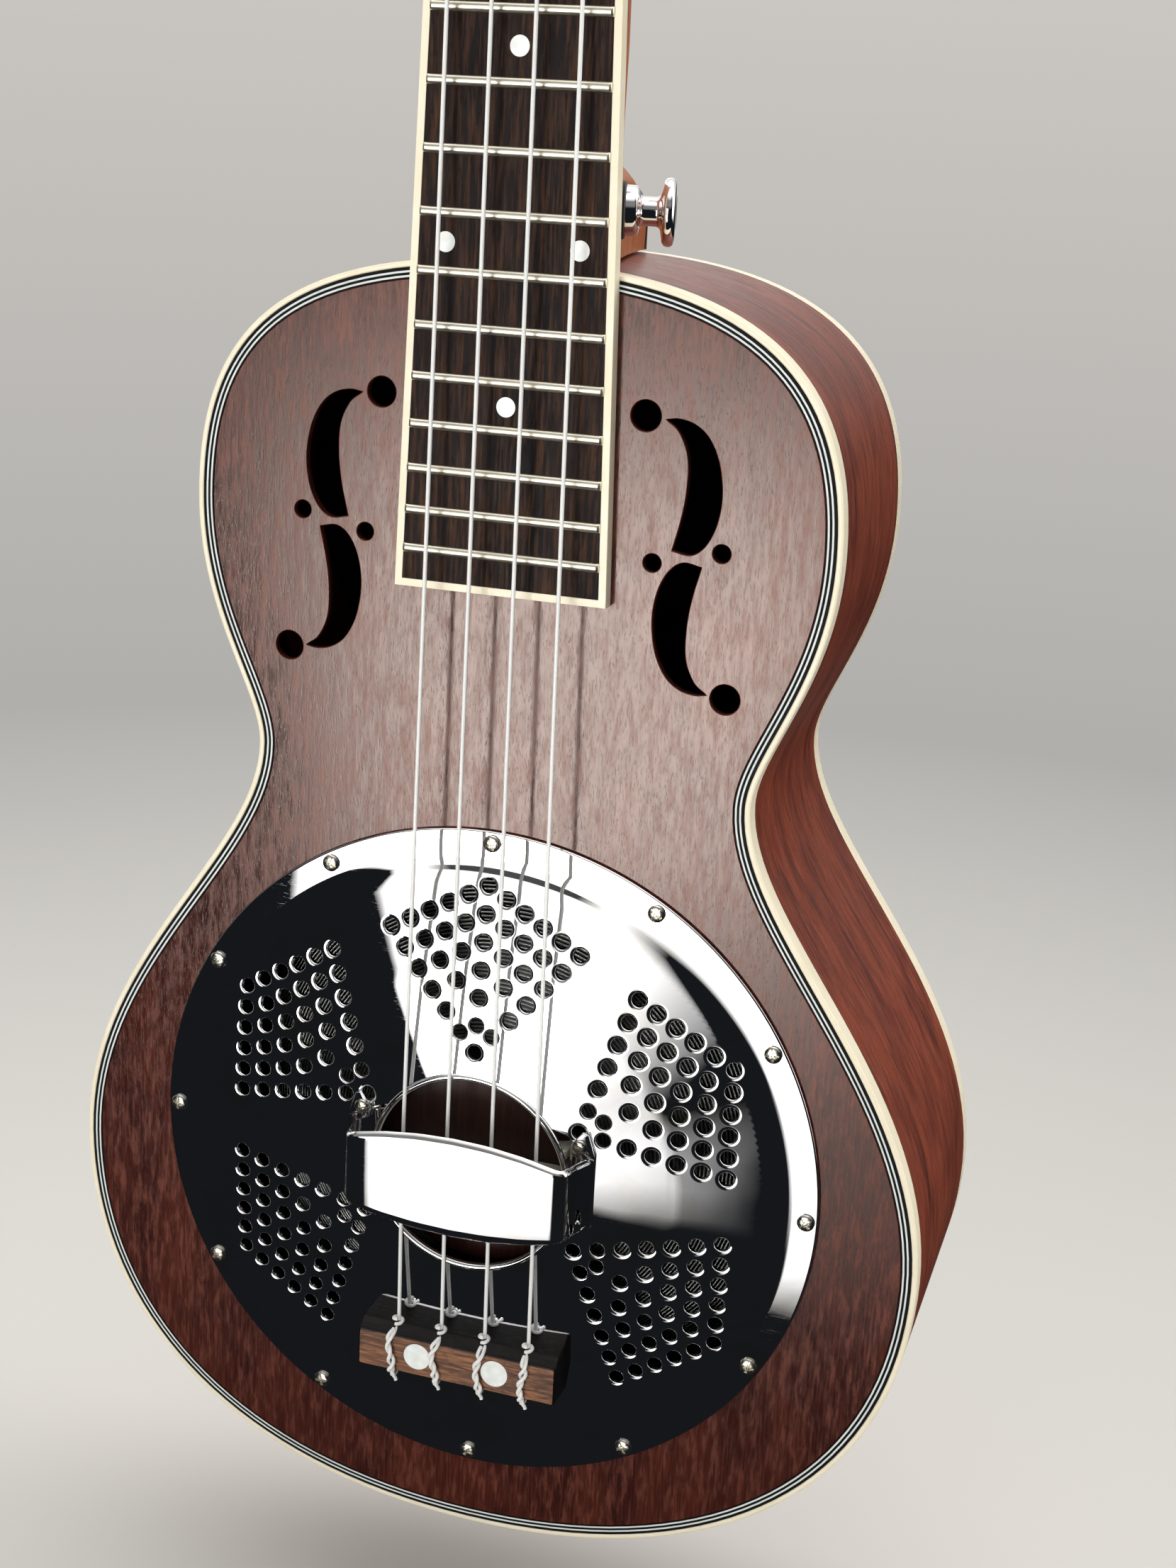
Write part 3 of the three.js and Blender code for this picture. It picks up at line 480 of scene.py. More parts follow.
def wood(name, dark, middle, pale, grain, streaks=0.5, pores=0.5, ribbon=0.0, roughness=0.4,
         specular=0.5, tint=(1.0, 1.0, 1.0), relief=0.5, streak_width=1.6, painted_shade_inside=False,
         sheen=(0.045, 0.055), mottling=0.0):
    """Wood whose grain runs along the axes where grain is small; grain is detail per mm.

    Its roughness runs from the first sheen value below roughness to the second above it.
    Asked to, it paints its faces towards the front, inside the body, almost black, as painted
    shade."""
    material, t = new_tree(name)
    across = np.array(grain, float)
    along = across < 0.2
    fine = t.noise(across * 2.2, 4, 0.6, 0.15)
    broad = t.noise(across / streak_width * 0.45, 3, 0.5, 0.3)
    cloud = t.noise((0.02, 0.03, 0.02), 2)
    flecks = t.noise(across * 4.2 + 0.35 * along, 2, 0.5)
    mottle = t.noise(across * 0.8 + 0.12 * along, 4, 0.65)
    band = t.noise(np.where(along, 0.035, 0.11), 2, 0.5, 0.4)
    pore = t.ramp(flecks, 0.60, 0.68)
    spread = 0.22 / (0.4 + streaks)
    black = tuple(0.25 * c for c in dark[:3]) + (1.0,)
    colour = t.mix(t.ramp(broad, 0.5 - spread, 0.5 + spread), dark, middle)
    colour = t.mix(t.times(t.ramp(fine, 0.45, 0.72), 0.35 + 0.5 * streaks), colour, pale)
    colour = t.mix(t.times(t.ramp(band, 0.42, 0.6), ribbon), colour, pale)
    colour = t.mix(t.times(t.ramp(mottle, 0.5, 0.64), mottling), colour, pale)
    colour = t.mix(t.ramp(cloud, 0.35, 0.7, 0.0, 0.3), colour, dark)
    colour = t.mix(t.times(pore, pores), colour, black)
    # Painted shade: faces turned to the front, which are inside the body, are mixed to near black.
    if painted_shade_inside:
        facing = t.split(t.add("ShaderNodeTexCoord", output="Normal"))[1]
        colour = t.mix(t.ramp(facing, -0.7, -0.3, 1.0, 0.0), colour, rgb(14, 9, 7))
    gloss = t.ramp(t.plus(t.times(fine, 0.25), t.times(mottle, 0.75)), 0.4, 0.62,
                   roughness - sheen[0], roughness + sheen[1])
    height = t.plus(t.math("SUBTRACT", t.times(fine, 0.35), pore), t.times(mottle, 2.0))
    t.shade({"Base Color": colour, "Roughness": gloss, "Normal": t.bump(height, 0.035, relief),
             "Specular IOR Level": specular, "Specular Tint": tint + (1.0,)})
    return material


def plastic(name, colour, other, roughness=0.35, subsurface=0.0, specular=0.5):
    """Moulded or sawn plastic with faint clouding and scraper marks."""
    material, t = new_tree(name)
    cloud = t.noise((0.12, 0.3, 0.12), 4)
    marks = t.noise((1.5, 3.0, 1.5), 3)
    t.shade({"Base Color": t.mix(t.ramp(cloud, 0.35, 0.7), colour, other),
             "Roughness": t.ramp(marks, 0.3, 0.7, roughness - 0.08, roughness + 0.1),
             "Normal": t.bump(marks, 0.01, 0.4), "Specular IOR Level": specular,
             "Subsurface Weight": subsurface, "Subsurface Radius": (1.0, 0.8, 0.5),
             "Subsurface Scale": 0.0008})
    return material


def plated(name, colour, tint, roughness, smudge, wear=0.5):
    """Plated metal with soft smudges, hairline scratches and slight waves."""
    material, t = new_tree(name)
    smear = t.ramp(t.noise((0.05, 0.05, 0.07), 5, 0.65, 0.6), 0.5, 0.78)
    hairs = t.ramp(t.noise((0.25, 0.25, 9.0), 2, 0.5, 0.8), 0.66, 0.72)
    wave = t.noise((0.06, 0.06, 0.06), 1)
    height = t.plus(wave, t.times(hairs, -0.02 * wear))
    t.shade({"Base Color": t.mix(smear, colour, tint), "Metallic": 1.0,
             "Roughness": t.plus(roughness, t.times(smear, smudge), t.times(hairs, 0.06 * wear)),
             "Normal": t.bump(height, 0.05, 0.5)})
    return material


def spun_metal(name):
    """Spun aluminium: rings of slightly different brightness round the cone's axis, with painted
    shade darkening the bottoms of its grooves.
    """
    material, t = new_tree(name)
    x, _, z = t.split(t.place())
    radius = t.distance(x, t.math("SUBTRACT", z, RESONATOR_Z + ORIGIN[2]))
    rings = t.add("ShaderNodeTexNoise", {"W": t.times(radius, 2.0), "Scale": 1.0, "Detail": 3.0},
                  noise_dimensions="1D")
    # Painted shade: the colour darkens where the cone's grooves sink back, more on some rings than
    # on others.
    turns = t.math("SINE", t.times(radius, TURN / GROOVE_PITCH))
    groove_shade = t.times(t.ramp(turns, -0.8, 0.8), t.ramp(rings, 0.2, 0.7, 0.55, 1.0))
    t.shade({"Base Color": t.mix(groove_shade, rgb(196, 196, 192), rgb(84, 86, 88)), "Metallic": 1.0,
             "Roughness": t.ramp(rings, 0.3, 0.7, 0.24, 0.34),
             "Normal": t.bump(rings, 0.01, 0.4)})
    return material


def nylon_string(name):
    """Clear nylon, slightly cloudy along its length."""
    material, t = new_tree(name)
    cloud = t.noise((0.5, 0.5, 0.05), 2)
    tone = t.mix(cloud, rgb(234, 236, 234), rgb(252, 252, 250))
    t.shade({"Base Color": tone, "Roughness": t.ramp(cloud, 0.3, 0.7, 0.2, 0.32), "IOR": 1.53,
             "Transmission Weight": 0.06, "Subsurface Weight": 0.3,
             "Subsurface Radius": (1.0, 1.0, 1.0), "Subsurface Scale": 0.0006})
    return material


def pearl(name, low, high):
    """Pearl plastic: cloudy flakes with a soft sheen."""
    material, t = new_tree(name)
    warp = t.noise((0.4, 0.4, 0.4), roughness=0.5, output="Color")
    place = t.add("ShaderNodeVectorMath", {0: t.place((0.35, 0.35, 0.35)), 1: warp},
                  operation="ADD")
    flakes = t.add("ShaderNodeTexVoronoi", {"Vector": place, "Scale": 1.6, "Randomness": 1.0},
                   feature="SMOOTH_F1")
    t.shade({"Base Color": t.mix(t.ramp(flakes, 0.1, 0.7), high, low), "Roughness": 0.22,
             "Coat Weight": 0.6, "Coat Roughness": 0.08, "Normal": t.bump(flakes, 0.02, 0.3),
             "Subsurface Weight": 0.2, "Subsurface Scale": 0.001})
    return material


def fibre(name, colour):
    """Dull pressed fibre with a fine fuzz."""
    material, t = new_tree(name)
    fuzz = t.noise((6, 6, 6), 4)
    tone = t.mix(fuzz, colour, tuple(2.2 * c for c in colour[:3]) + (1.0,))
    t.shade({"Base Color": tone, "Roughness": 0.9, "Sheen Weight": 0.3,
             "Normal": t.bump(fuzz, 0.08)})
    return material


ALONG_NECK = (1.0, 1.0, 0.06)
ALONG_SIDE = (0.05, 0.9, 0.05)
ACROSS = (0.07, 1.0, 1.0)

top_wood = wood("top_mahogany_finish", rgb(45, 19, 17), rgb(60, 27, 23), rgb(118, 56, 38),
                ALONG_NECK, streaks=0.1, pores=0.2, ribbon=0.15, roughness=0.155,
                tint=(1.0, 0.84, 0.77), relief=0.14, sheen=(0.06, 0.08), mottling=0.45)
side_wood = wood("side_mahogany_finish", rgb(72, 26, 17), rgb(112, 46, 29), rgb(166, 80, 50),
                 ALONG_SIDE, streaks=0.7, pores=0.6, ribbon=0.3, roughness=0.38, specular=0.4)
# The back's faces inside the body get near-black painted shade.
back_wood = wood("back_mahogany_finish", rgb(74, 30, 18), rgb(106, 48, 29), rgb(146, 74, 44),
                 ALONG_NECK, streaks=0.6, pores=0.7, ribbon=0.25, roughness=0.3, painted_shade_inside=True)
# Painted shade: the wood inside the body is coloured almost black, for the shade inside the closed
# body.
shaded_inner_wood = wood("inner_wood_painted_shade", rgb(16, 10, 7), rgb(26, 17, 12), rgb(38, 26, 19),
                  ALONG_SIDE, streaks=0.6, pores=0.4, roughness=0.8, specular=0.1)
neck_wood = wood("neck_mahogany_finish", rgb(138, 70, 36), rgb(182, 102, 56), rgb(218, 140, 86),
                 ALONG_NECK, streaks=0.4, pores=0.6, ribbon=0.2, roughness=0.4)
board_wood = wood("fingerboard_rosewood", rgb(10, 8, 11), rgb(34, 24, 22), rgb(88, 58, 38),
                  (0.5, 0.5, 0.03), streaks=1.0, pores=0.4, roughness=0.48, specular=0.12,
                  streak_width=1.5)
head_wood = wood("headstock_rosewood", rgb(11, 8, 10), rgb(44, 30, 26), rgb(112, 74, 48),
                 (1.0, 0.08, 0.05), streaks=0.9, pores=0.6, roughness=0.35, specular=0.3,
                 streak_width=2.0)
bridge_wood = wood("bridge_rosewood", rgb(66, 40, 28), rgb(116, 74, 48), rgb(190, 128, 82),
                   ACROSS, streaks=1.0, pores=0.7, roughness=0.42)
dark_wood = wood("bridge_dark_rosewood", rgb(8, 6, 6), rgb(15, 11, 10), rgb(26, 19, 16),
                 ACROSS, streaks=0.6, pores=0.6, roughness=0.42, specular=0.2)
biscuit_wood = wood("biscuit_maple_stained", rgb(28, 12, 10), rgb(46, 20, 15), rgb(72, 36, 24),
                    (0.6, 0.6, 0.04), streaks=0.3, pores=0.3, roughness=0.42, specular=0.35)
ivory = plastic("ivory_binding_plastic", rgb(245, 236, 213), rgb(238, 228, 200), 0.34, 0.15)
bone = plastic("bone_plastic", rgb(240, 234, 218), rgb(226, 217, 196), 0.38, 0.2)
line_white = plastic("purfling_white", rgb(226, 232, 230), rgb(210, 216, 214), 0.4)
line_black = plastic("purfling_black", rgb(8, 8, 10), rgb(14, 14, 17), 0.5, specular=0.12)
chrome = plated("mirror_chrome", rgb(238, 238, 240), rgb(226, 222, 212), 0.008, 0.016, wear=0.25)
nickel = plated("nickel_plate", rgb(206, 202, 192), rgb(178, 172, 158), 0.16, 0.16, wear=1.0)
screw_nickel = plated("bright_screw_nickel", rgb(240, 236, 224), rgb(224, 216, 196), 0.2, 0.1)
fret_metal = plated("fret_nickel", rgb(242, 236, 218), rgb(224, 216, 196), 0.34, 0.12, wear=1.0)
aluminium = spun_metal("spun_aluminium_cone")
nylon = nylon_string("nylon_clear")
pearl_dot = pearl("pearl_inlay", rgb(236, 236, 232), rgb(254, 254, 252))
pearl_button = pearl("pearl_button", rgb(196, 190, 172), rgb(246, 242, 228))
black_felt = fibre("black_fibre", rgb(18, 18, 19))

# -------- body


def bezier(a, b, c, d, steps):
    """Points of a cubic curve and its headings there, without its end."""
    t = np.linspace(0, 1, steps, endpoint=False)[:, None]
    a, b, c, d = (np.array(p, float) for p in (a, b, c, d))
    place = (1 - t) ** 3 * a + 3 * (1 - t) ** 2 * t * b + 3 * (1 - t) * t ** 2 * c + t ** 3 * d
    heading = (1 - t) ** 2 * (b - a) + 2 * (1 - t) * t * (c - b) + t ** 2 * (d - c)
    return place, unit(heading)


OUTLINE_CURVES = [
    ((0, OUTLINE_TOP), (56, OUTLINE_TOP), (69.5, 170.5), (69.5, 140.5)),
    ((69.5, 140.5), (69.5, 114.5), (54.9, 99.2), (54.9, 87.7)),
    ((54.9, 87.7), (54.9, 61.7), (98.4, 32), (98.4, -13)),
    ((98.4, -13), (98.4, -60), (63, OUTLINE_BOTTOM), (0, OUTLINE_BOTTOM)),
]
OUTLINE_STEPS = 34


def half_outline(inset):
    """The treble half of the body outline from the top to the bottom, moved inwards."""
    points = []
    for curve in OUTLINE_CURVES:
        place, heading = bezier(*curve, OUTLINE_STEPS)
        points.append(place + np.stack([heading[:, 1], -heading[:, 0]], 1) * inset)
    return np.vstack(points + [[(0, OUTLINE_BOTTOM + inset)]])


def full_outline(inset):
    right = half_outline(inset)
    left = right[1:-1][::-1] * (-1, 1)
    return np.vstack([right, left])


def back_y(x, z):
    return TOP_Y + DEPTH_AT_SADDLE + DEPTH_SLOPE * z


def back_board_front(x, z):
    return back_y(x, z) - PLATE


def back_binding_front(x, z):
    return back_y(x, z) - BINDING_HEIGHT


def hoop(outer_inset, inner_inset, front, back, edge):
    """A strip that runs all round the body between two insets from its outline."""
    return slab(full_outline(outer_inset), [full_outline(inner_inset)], front, back, edge)


F_EYES = [(28.1, 165.4, 3.1), (48, 110.1, 3.1), (45.3, 139.6, 1.85), (31.1, 136.3, 1.85)]
F_BLADE_OUTER = [(32.4, 165), (35, 165.3), (38.2, 164.5), (41.1, 162.2), (43.3, 158.1), (44.4, 153),
                 (44.4, 148.2), (43.3, 143.6), (41.3, 140.2), (38.7, 138.65), (35.1, 139.2)]
F_BLADE_INNER = [(35.1, 139.2), (36.6, 145.5), (37.4, 151.5), (37.2, 158), (35.2, 162.7),
                 (32.4, 165)]
F_CENTRE = (38.2, 137.8)


def f_holes(side):
    """The loops of one f-hole; its lower blade is the upper one turned half round."""
    upper = np.vstack([curve_through(side_of_blade, 8)[:-1]
                       for side_of_blade in (F_BLADE_OUTER, F_BLADE_INNER)])
    lower = 2 * np.array(F_CENTRE) - upper
    eyes = [circle(r, 36, x, z) for x, z, r in F_EYES]
    return [loop * (side, 1) for loop in [upper, lower] + eyes]


def make_body():
    top_inset = BINDING_WIDTH + sum(PURFLING_LINES)
    holes = [circle(WELL_RADIUS, 96, *RESONATOR_AXIS)] + f_holes(-1) + f_holes(1)
    board = make("top_board", [slab(full_outline(top_inset), holes, TOP_Y, TOP_Y + PLATE, 0.22)],
                 top_wood, "top_plate", flats=False)
    level_front(board, TOP_Y)
    lines, inset = ([], []), BINDING_WIDTH
    for i, width in enumerate(PURFLING_LINES):
        lines[i % 2].append(hoop(inset, inset + width, TOP_Y - 0.01, TOP_Y + PLATE, 0.03))
        inset += width
    make("purfling_black_lines", lines[0], line_black, "top_purfling")
    make("purfling_white_lines", lines[1], line_white)
    binding_back = TOP_Y + BINDING_HEIGHT
    make("top_binding_strip", [hoop(0, BINDING_WIDTH, TOP_Y - 0.02, binding_back, 0.4)], ivory,
         "top_binding")
    make("back_binding_strip", [hoop(0, BINDING_WIDTH, back_binding_front, back_y, 0.4)], ivory,
         "back_binding")
    make("back_board", [slab(full_outline(BINDING_WIDTH), [], back_board_front, back_y, 0.05)],
         back_wood, "back_plate")
    for name, side in (("bass", -1), ("treble", 1)):
        outer = np.maximum(half_outline(SIDE_GAP), (SIDE_GAP, -1e3))
        inner = np.maximum(half_outline(SIDE), (SIDE_GAP, -1e3))
        loop = np.vstack([outer, inner[::-1]]) * (side, 1)
        make(f"side_{name}_bent", [slab(loop, [], binding_back, back_binding_front, 0.01, 1)],
             side_wood, f"side_{name}")


# -------- resonator


def cover_front(radius):
    """The cover plate's front face at a radius: its profile with the corners rounded off."""
    r, y = np.array(COVER_PROFILE).T
    reach = np.linspace(-1.3, 1.3, 17)
    samples = [np.interp(np.asarray(radius) + d, r, y) for d in reach]
    return np.mean(samples, axis=0)


def cover_front_at(x, z):
    """The cover plate's front face over a place of the front plane."""
    return cover_front(np.hypot(x, z - RESONATOR_Z))


def perforation_places():
    """Five kites of perforations, as x and z of every hole."""
    kite = []
    for row, per_side in enumerate(KITE_ROWS):
        apex, end_out, end_across = (first + step * row for first, step in KITE_LINES)
        kite.append((apex, 0))
        for i in range(1, per_side + 1):
            share = i / per_side
            out = apex + (end_out - apex) * share
            kite += [(out, end_across * share), (out, -end_across * share)]
    places = []
    for turn in KITE_TURNS:
        s, c = sin(radians(turn)), cos(radians(turn))
        places += [(out * s + across * c, RESONATOR_Z + out * c - across * s)
                   for out, across in kite]
    return np.array(places)


def rim_radii(places):
    """The outer radius of each perforation's dished rim, smaller where two holes are close."""
    apart = gaps_to_rims(places, places, 0)
    np.fill_diagonal(apart, 99)
    return np.minimum(RIM_RADIUS, apart.min(1) / 2 - 0.04)


def gaps_to_rims(points, places, rims):
    """The distance of every point from every rim, negative inside it."""
    return np.hypot(points[:, :1] - places[:, 0], points[:, 1:] - places[:, 1]) - rims


def cover_grid(bead, outer, places, rims):
    """Points on circles between the perforations, closer together near the step."""
    radii = np.concatenate([np.arange(bead + 0.8, 64, 1.25), np.arange(64, outer - 0.3, 0.6)])
    points = np.vstack([circle(radius, max(60, int(TURN * radius / 1.7)), *RESONATOR_AXIS)
                        for radius in radii])
    return points[np.min(gaps_to_rims(points, places, rims), axis=1) > 0.35]


def perforation(x, z, rim, sides):
    """The shallow dish round one hole, the hole's wall and the metal behind the dish."""
    width = rim - PERFORATION_RADIUS
    profile = [(rim - width * share, drop) for share, drop in RIM_DROP]
    profile += [(PERFORATION_RADIUS + 0.1, 1.0), (rim, COVER_THICKNESS)]
    rows = []
    for radius, drop in profile:
        loop = circle(radius, sides, x, z)
        rows.append(raised(loop, cover_front_at(*loop.T) + drop))
    return skin(rows, caps=False)


def true_cover_normals(piece):
    """Gives the cover plate's front the exact normals of its turned profile."""
    places = perforation_places()
    points = np.array([tuple(v.co) for v in piece.data.vertices]) * 1000 - ORIGIN
    x, y, z = (points - (0, 0, RESONATOR_Z)).T
    radius = np.hypot(x, z)
    clear = gaps_to_rims(points[:, [0, 2]], places, rim_radii(places)).min(1)
    on_front = (np.abs(y - cover_front(radius)) < SAME_HEIGHT) & (clear > -0.01)
    on_front &= (radius > COVER_OPENING + 1.4) & (radius < COVER_RADIUS - 0.4)
    slope = (cover_front(radius + 0.05) - cover_front(radius - 0.05)) / 0.1
    exact = stacked(slope * x / (radius + 1e-9), -1, slope * z / (radius + 1e-9))
    set_normals(piece.data, on_front, unit(exact), 0.9)


def cover_plate():
    """The domed plate with dished perforations, a rolled opening and a turned-down edge."""
    bead, outer = COVER_OPENING + BEAD, COVER_RADIUS - 0.5
    sides, around = 28, 240
    places = perforation_places()
    rims = rim_radii(places)
    loops = [circle(radius, around, *RESONATOR_AXIS) for radius in (DOME_RADIUS, bead)]
    loops += [circle(rim, sides, x, z) for (x, z), rim in zip(places, rims)]
    flat, triangles = filled(loops, cover_grid(bead, DOME_RADIUS, places, rims))
    front = cover_front_at(*flat.T)
    shells = [(raised(flat, front + deep), triangles) for deep in (0, COVER_THICKNESS)]
    shells += [perforation(x, z, rim, sides) for (x, z), rim in zip(places, rims)]
    base = float(cover_front(bead))
    turn = np.linspace(0, pi, 13)
    bead_profile = [(bead - BEAD / 2 * (1 - cos(a)), base - BEAD / 2 * sin(a))
                    for a in turn]
    bead_profile += [(COVER_OPENING, base + 0.5), (COVER_OPENING + 0.3, base + COVER_THICKNESS),
                     (bead, base + COVER_THICKNESS)]
    shells.append(lathe(bead_profile, around, *RESONATOR_AXIS))
    step = np.linspace(DOME_RADIUS, outer, 31)
    flange = list(zip(step, cover_front(step)))
    edge = flange[-1][1]
    rounding = [(outer + 0.25, edge + 0.06), (outer + 0.43, edge + 0.22),
                (COVER_RADIUS, edge + 0.45), (COVER_RADIUS, edge + COVER_THICKNESS)]
    behind = [(r, y + COVER_THICKNESS) for r, y in flange[::-1]]
    shells.append(lathe(flange + rounding + behind, around, *RESONATOR_AXIS))
    return joined(shells)


def cone():
    """The spun cone with its fine grooves, flat in the middle and at its rim."""
    r, y = np.array(CONE_PROFILE).T
    radii = np.concatenate([[0, 8, 16, 24], np.arange(25, 66, GROOVE_PITCH / 5), [67, 69.5]])
    grooved = (radii > 25) & (radii < 65)
    depth = np.where(grooved, GROOVE_DEPTH * np.sin(TURN * radii / GROOVE_PITCH), 0)
    front = list(zip(radii, np.interp(radii, r, y) + depth))
    back = [(radius, height + CONE_THICKNESS) for radius, height in reversed(CONE_PROFILE)]
    return lathe(front + back, 96, *RESONATOR_AXIS)


# Radius and height of each kind of screw head.
COVER_SCREW = (1.9, 0.85)
REST_SCREW = (1.7, 0.9)
STRAP_SCREW = (2.5, 0.7)
GEAR_SCREW = (2.3, 0.9)
PLATE_SCREW = (1.5, 0.8)
CROSS_WIDTH = 0.12        # half the slot's width and its reach, as shares of the head's radius
CROSS_REACH = 0.72


def screw_head(radius, height):
    """A domed cross-head screw standing on y = 0 with its head towards negative y."""
    loops = []
    for share in np.linspace(1, 0.04, 14):
        loop = ring(radius * share, 0, 48)
        dome = height * sqrt(max(0.0, 1 - (0.93 * share) ** 3.2))
        across = np.abs(loop[:, [0, 2]]) / radius
        in_cross = (across.max(1) < CROSS_REACH) & (across.min(1) < CROSS_WIDTH)
        loop[:, 1] = -dome + np.where(in_cross, 0.62 * height, 0)
        loops.append(loop)
    return skin([ring(radius, 0, 48)] + loops)


def screw(size, degrees, place):
    """A screw head turned about its axis and set at a place."""
    c, s = cos(radians(degrees)), sin(radians(degrees))
    points, faces = screw_head(*size)
    x, y, z = points.T
    return stacked(x * c - z * s, y, x * s + z * c) + place, faces


def cover_screws():
    """The screws on the flange, each turned by a different amount."""
    shells = []
    for i in range(COVER_SCREWS):
        angle = TURN * i / COVER_SCREWS
        x, z = COVER_SCREW_CIRCLE * sin(angle), COVER_SCREW_CIRCLE * cos(angle)
        shells.append(screw(COVER_SCREW, 17 + 37 * i, (x, COVER_PROFILE[-1][1], RESONATOR_Z + z)))
    return shells


REST_OUTER = [(28.5, -3.2), (28.3, -5.2), (27.4, -7.4), (26.4, -9.8), (25.8, -11.9),
              (25, -13.6), (23.5, -14.6), (21.2, -14.9), (11, -14.98), (0, -15)]
REST_EDGE = [(0, 11.6), (8, 11.3), (16, 10.3), (24.5, 8.5), (30, 8.5)]
REST_FOOT = [(28.6, -8.4), (28.6, 8.4), (27, 13.2), (25.6, 13.6), (23.2, 10.8), (23.5, 8.2),
             (26.6, 6.5), (26.6, -8.4)]
REST_SCREW_X = 25.2
REST_SCREW_Z = 10.4
REST_THICKNESS = 1.2
FOOT_THICKNESS = 1.1


def hand_rest():
    """The arched strip over the saddle, with rolled edges that bow outwards over the crown."""
    right = curve_through(REST_OUTER, 5)
    line = np.vstack([right * (-1, 1), right[-2::-1]])
    heading = unit(np.gradient(line, axis=0))
    outwards = np.stack([heading[:, 1], -heading[:, 0]], 1)
    across = np.linspace(-1, 1, 33)
    rolled = np.clip((np.abs(across) - 0.89) / 0.11, 0, 1)
    drop = 0.03 * across ** 2 + 1.0 * rolled ** 2.2
    reach = np.interp(np.abs(line[:, 0]), *np.array(REST_EDGE).T)
    loops = []
    for (x, y), (nx, ny), half in zip(line, outwards, reach):
        outer = stacked(x - nx * drop, y - ny * drop, half * across)
        inner = stacked(x - nx * REST_THICKNESS, y - ny * REST_THICKNESS, half * across)
        inner[0] = outer[0]
        inner[-1] = outer[-1]
        loops.append(np.vstack([outer, inner[-2:0:-1]]))
    return skin(loops)


def hand_rest_foot(side):
    """A flange on the cover plate that runs out to a screw on the neck side."""
    def front(x, z):
        return cover_front_at(x, z) - FOOT_THICKNESS

    def back(x, z):
        return cover_front_at(x, z) - 0.08

    return slab(np.array(REST_FOOT) * (side, 1), [], front, back, 0.3)


SADDLE_SIZE = (-20.3, 20.3, -1.5, 1.5)
SADDLE_TOP_Y = -5.1
SADDLE_BASE_Y = 4.2
TIE_HALF_LENGTH = 23.4
TIE_TOP_Y = -8
TIE_FACE_Z = (-51.1, -42.6)
TIE_DOT_RADIUS = 3.15
TIE_DOT_X = 9.2
TIE_DOT_Z = -46.6
TIE_PROFILE = [(1.0, -51.9), (-7.55, -51.5), (-7.9, -51.2), (TIE_TOP_Y, -50.7),
               (TIE_TOP_Y, -42.5), (-7.85, -42), (-5.9, -40.5), (-5.4, -40.3), (1.0, -40)]


def tie_block():
    """The bar that the strings are tied to, chamfered in front, its ends slightly eased."""
    profile = np.array(TIE_PROFILE)
    stations = [(-TIE_HALF_LENGTH, 0.5), (0.15 - TIE_HALF_LENGTH, 0.2), (0.5 - TIE_HALF_LENGTH, 0)]
    stations += [(-x, edge) for x, edge in stations[::-1]]
    inwards = unit(profile.mean(0) - profile)
    loops = []
    for x, edge in stations:
        placed = profile + inwards * edge
        y = placed[:, 0].copy()
        y[[0, -1]] = cover_front_at(x, placed[[0, -1], 1]) + 0.1
        loops.append(stacked(x, y, placed[:, 1]))
    return skin(loops)


def make_resonator():
    make("cone_spun", [cone()], aluminium, "resonator_cone", sharp=60)
    make("biscuit_disc", [lathe(BISCUIT_PROFILE, 96, *RESONATOR_AXIS)], biscuit_wood, "biscuit")
    saddle = slab(rounded_rectangle(*SADDLE_SIZE, 0.5), [], SADDLE_TOP_Y, SADDLE_BASE_Y, 0.5)
    make("saddle_bone", [saddle], bone, "saddle")
    dome = make("cover_dome", [cover_plate()], chrome, "cover_plate", sharp=50, flats=False)
    true_cover_normals(dome)
    make("cover_screws", cover_screws(), screw_nickel, sharp=40)
    make("hand_rest_strip", [hand_rest(), hand_rest_foot(-1), hand_rest_foot(1)], chrome,
         "hand_rest", sharp=60, flats=False)
    seat = float(cover_front_at(REST_SCREW_X, REST_SCREW_Z)) - FOOT_THICKNESS
    for name, side in (("bass", -1), ("treble", 1)):
        head = screw(REST_SCREW, 25, (side * REST_SCREW_X, seat, REST_SCREW_Z))
        make(f"hand_rest_{name}_screw", [head], nickel, f"hand_rest_screw_{name}", sharp=30)
    make("tie_block_bar", [tie_block()], dark_wood, "tie_block")
    outline = rounded_rectangle(0.35 - TIE_HALF_LENGTH, TIE_HALF_LENGTH - 0.35, *TIE_FACE_Z, 0.4)
    face = slab(outline, [], TIE_TOP_Y - 0.03, TIE_TOP_Y + 0.1, 0.02, 1)
    make("tie_block_face", [face], bridge_wood)
    dots = [disc(TIE_DOT_RADIUS, TIE_TOP_Y - 0.08, TIE_TOP_Y + 0.2, x, TIE_DOT_Z, 0.04)
            for x in (-TIE_DOT_X, TIE_DOT_X)]
    make("tie_block_dots", dots, pearl_dot)


# -------- strings


def in_head(points):
    """Points of the tilted headstock's own frame in the working axes."""
    p = np.asarray(points, float)
    c, s = cos(HEAD_TILT), sin(HEAD_TILT)
    return stacked(p[:, 0], HEAD_Y + p[:, 1] * c + p[:, 2] * s, HEAD_Z - p[:, 1] * s + p[:, 2] * c)


STRING_BEND = 1.2         # the string turns over this far on each side of a corner


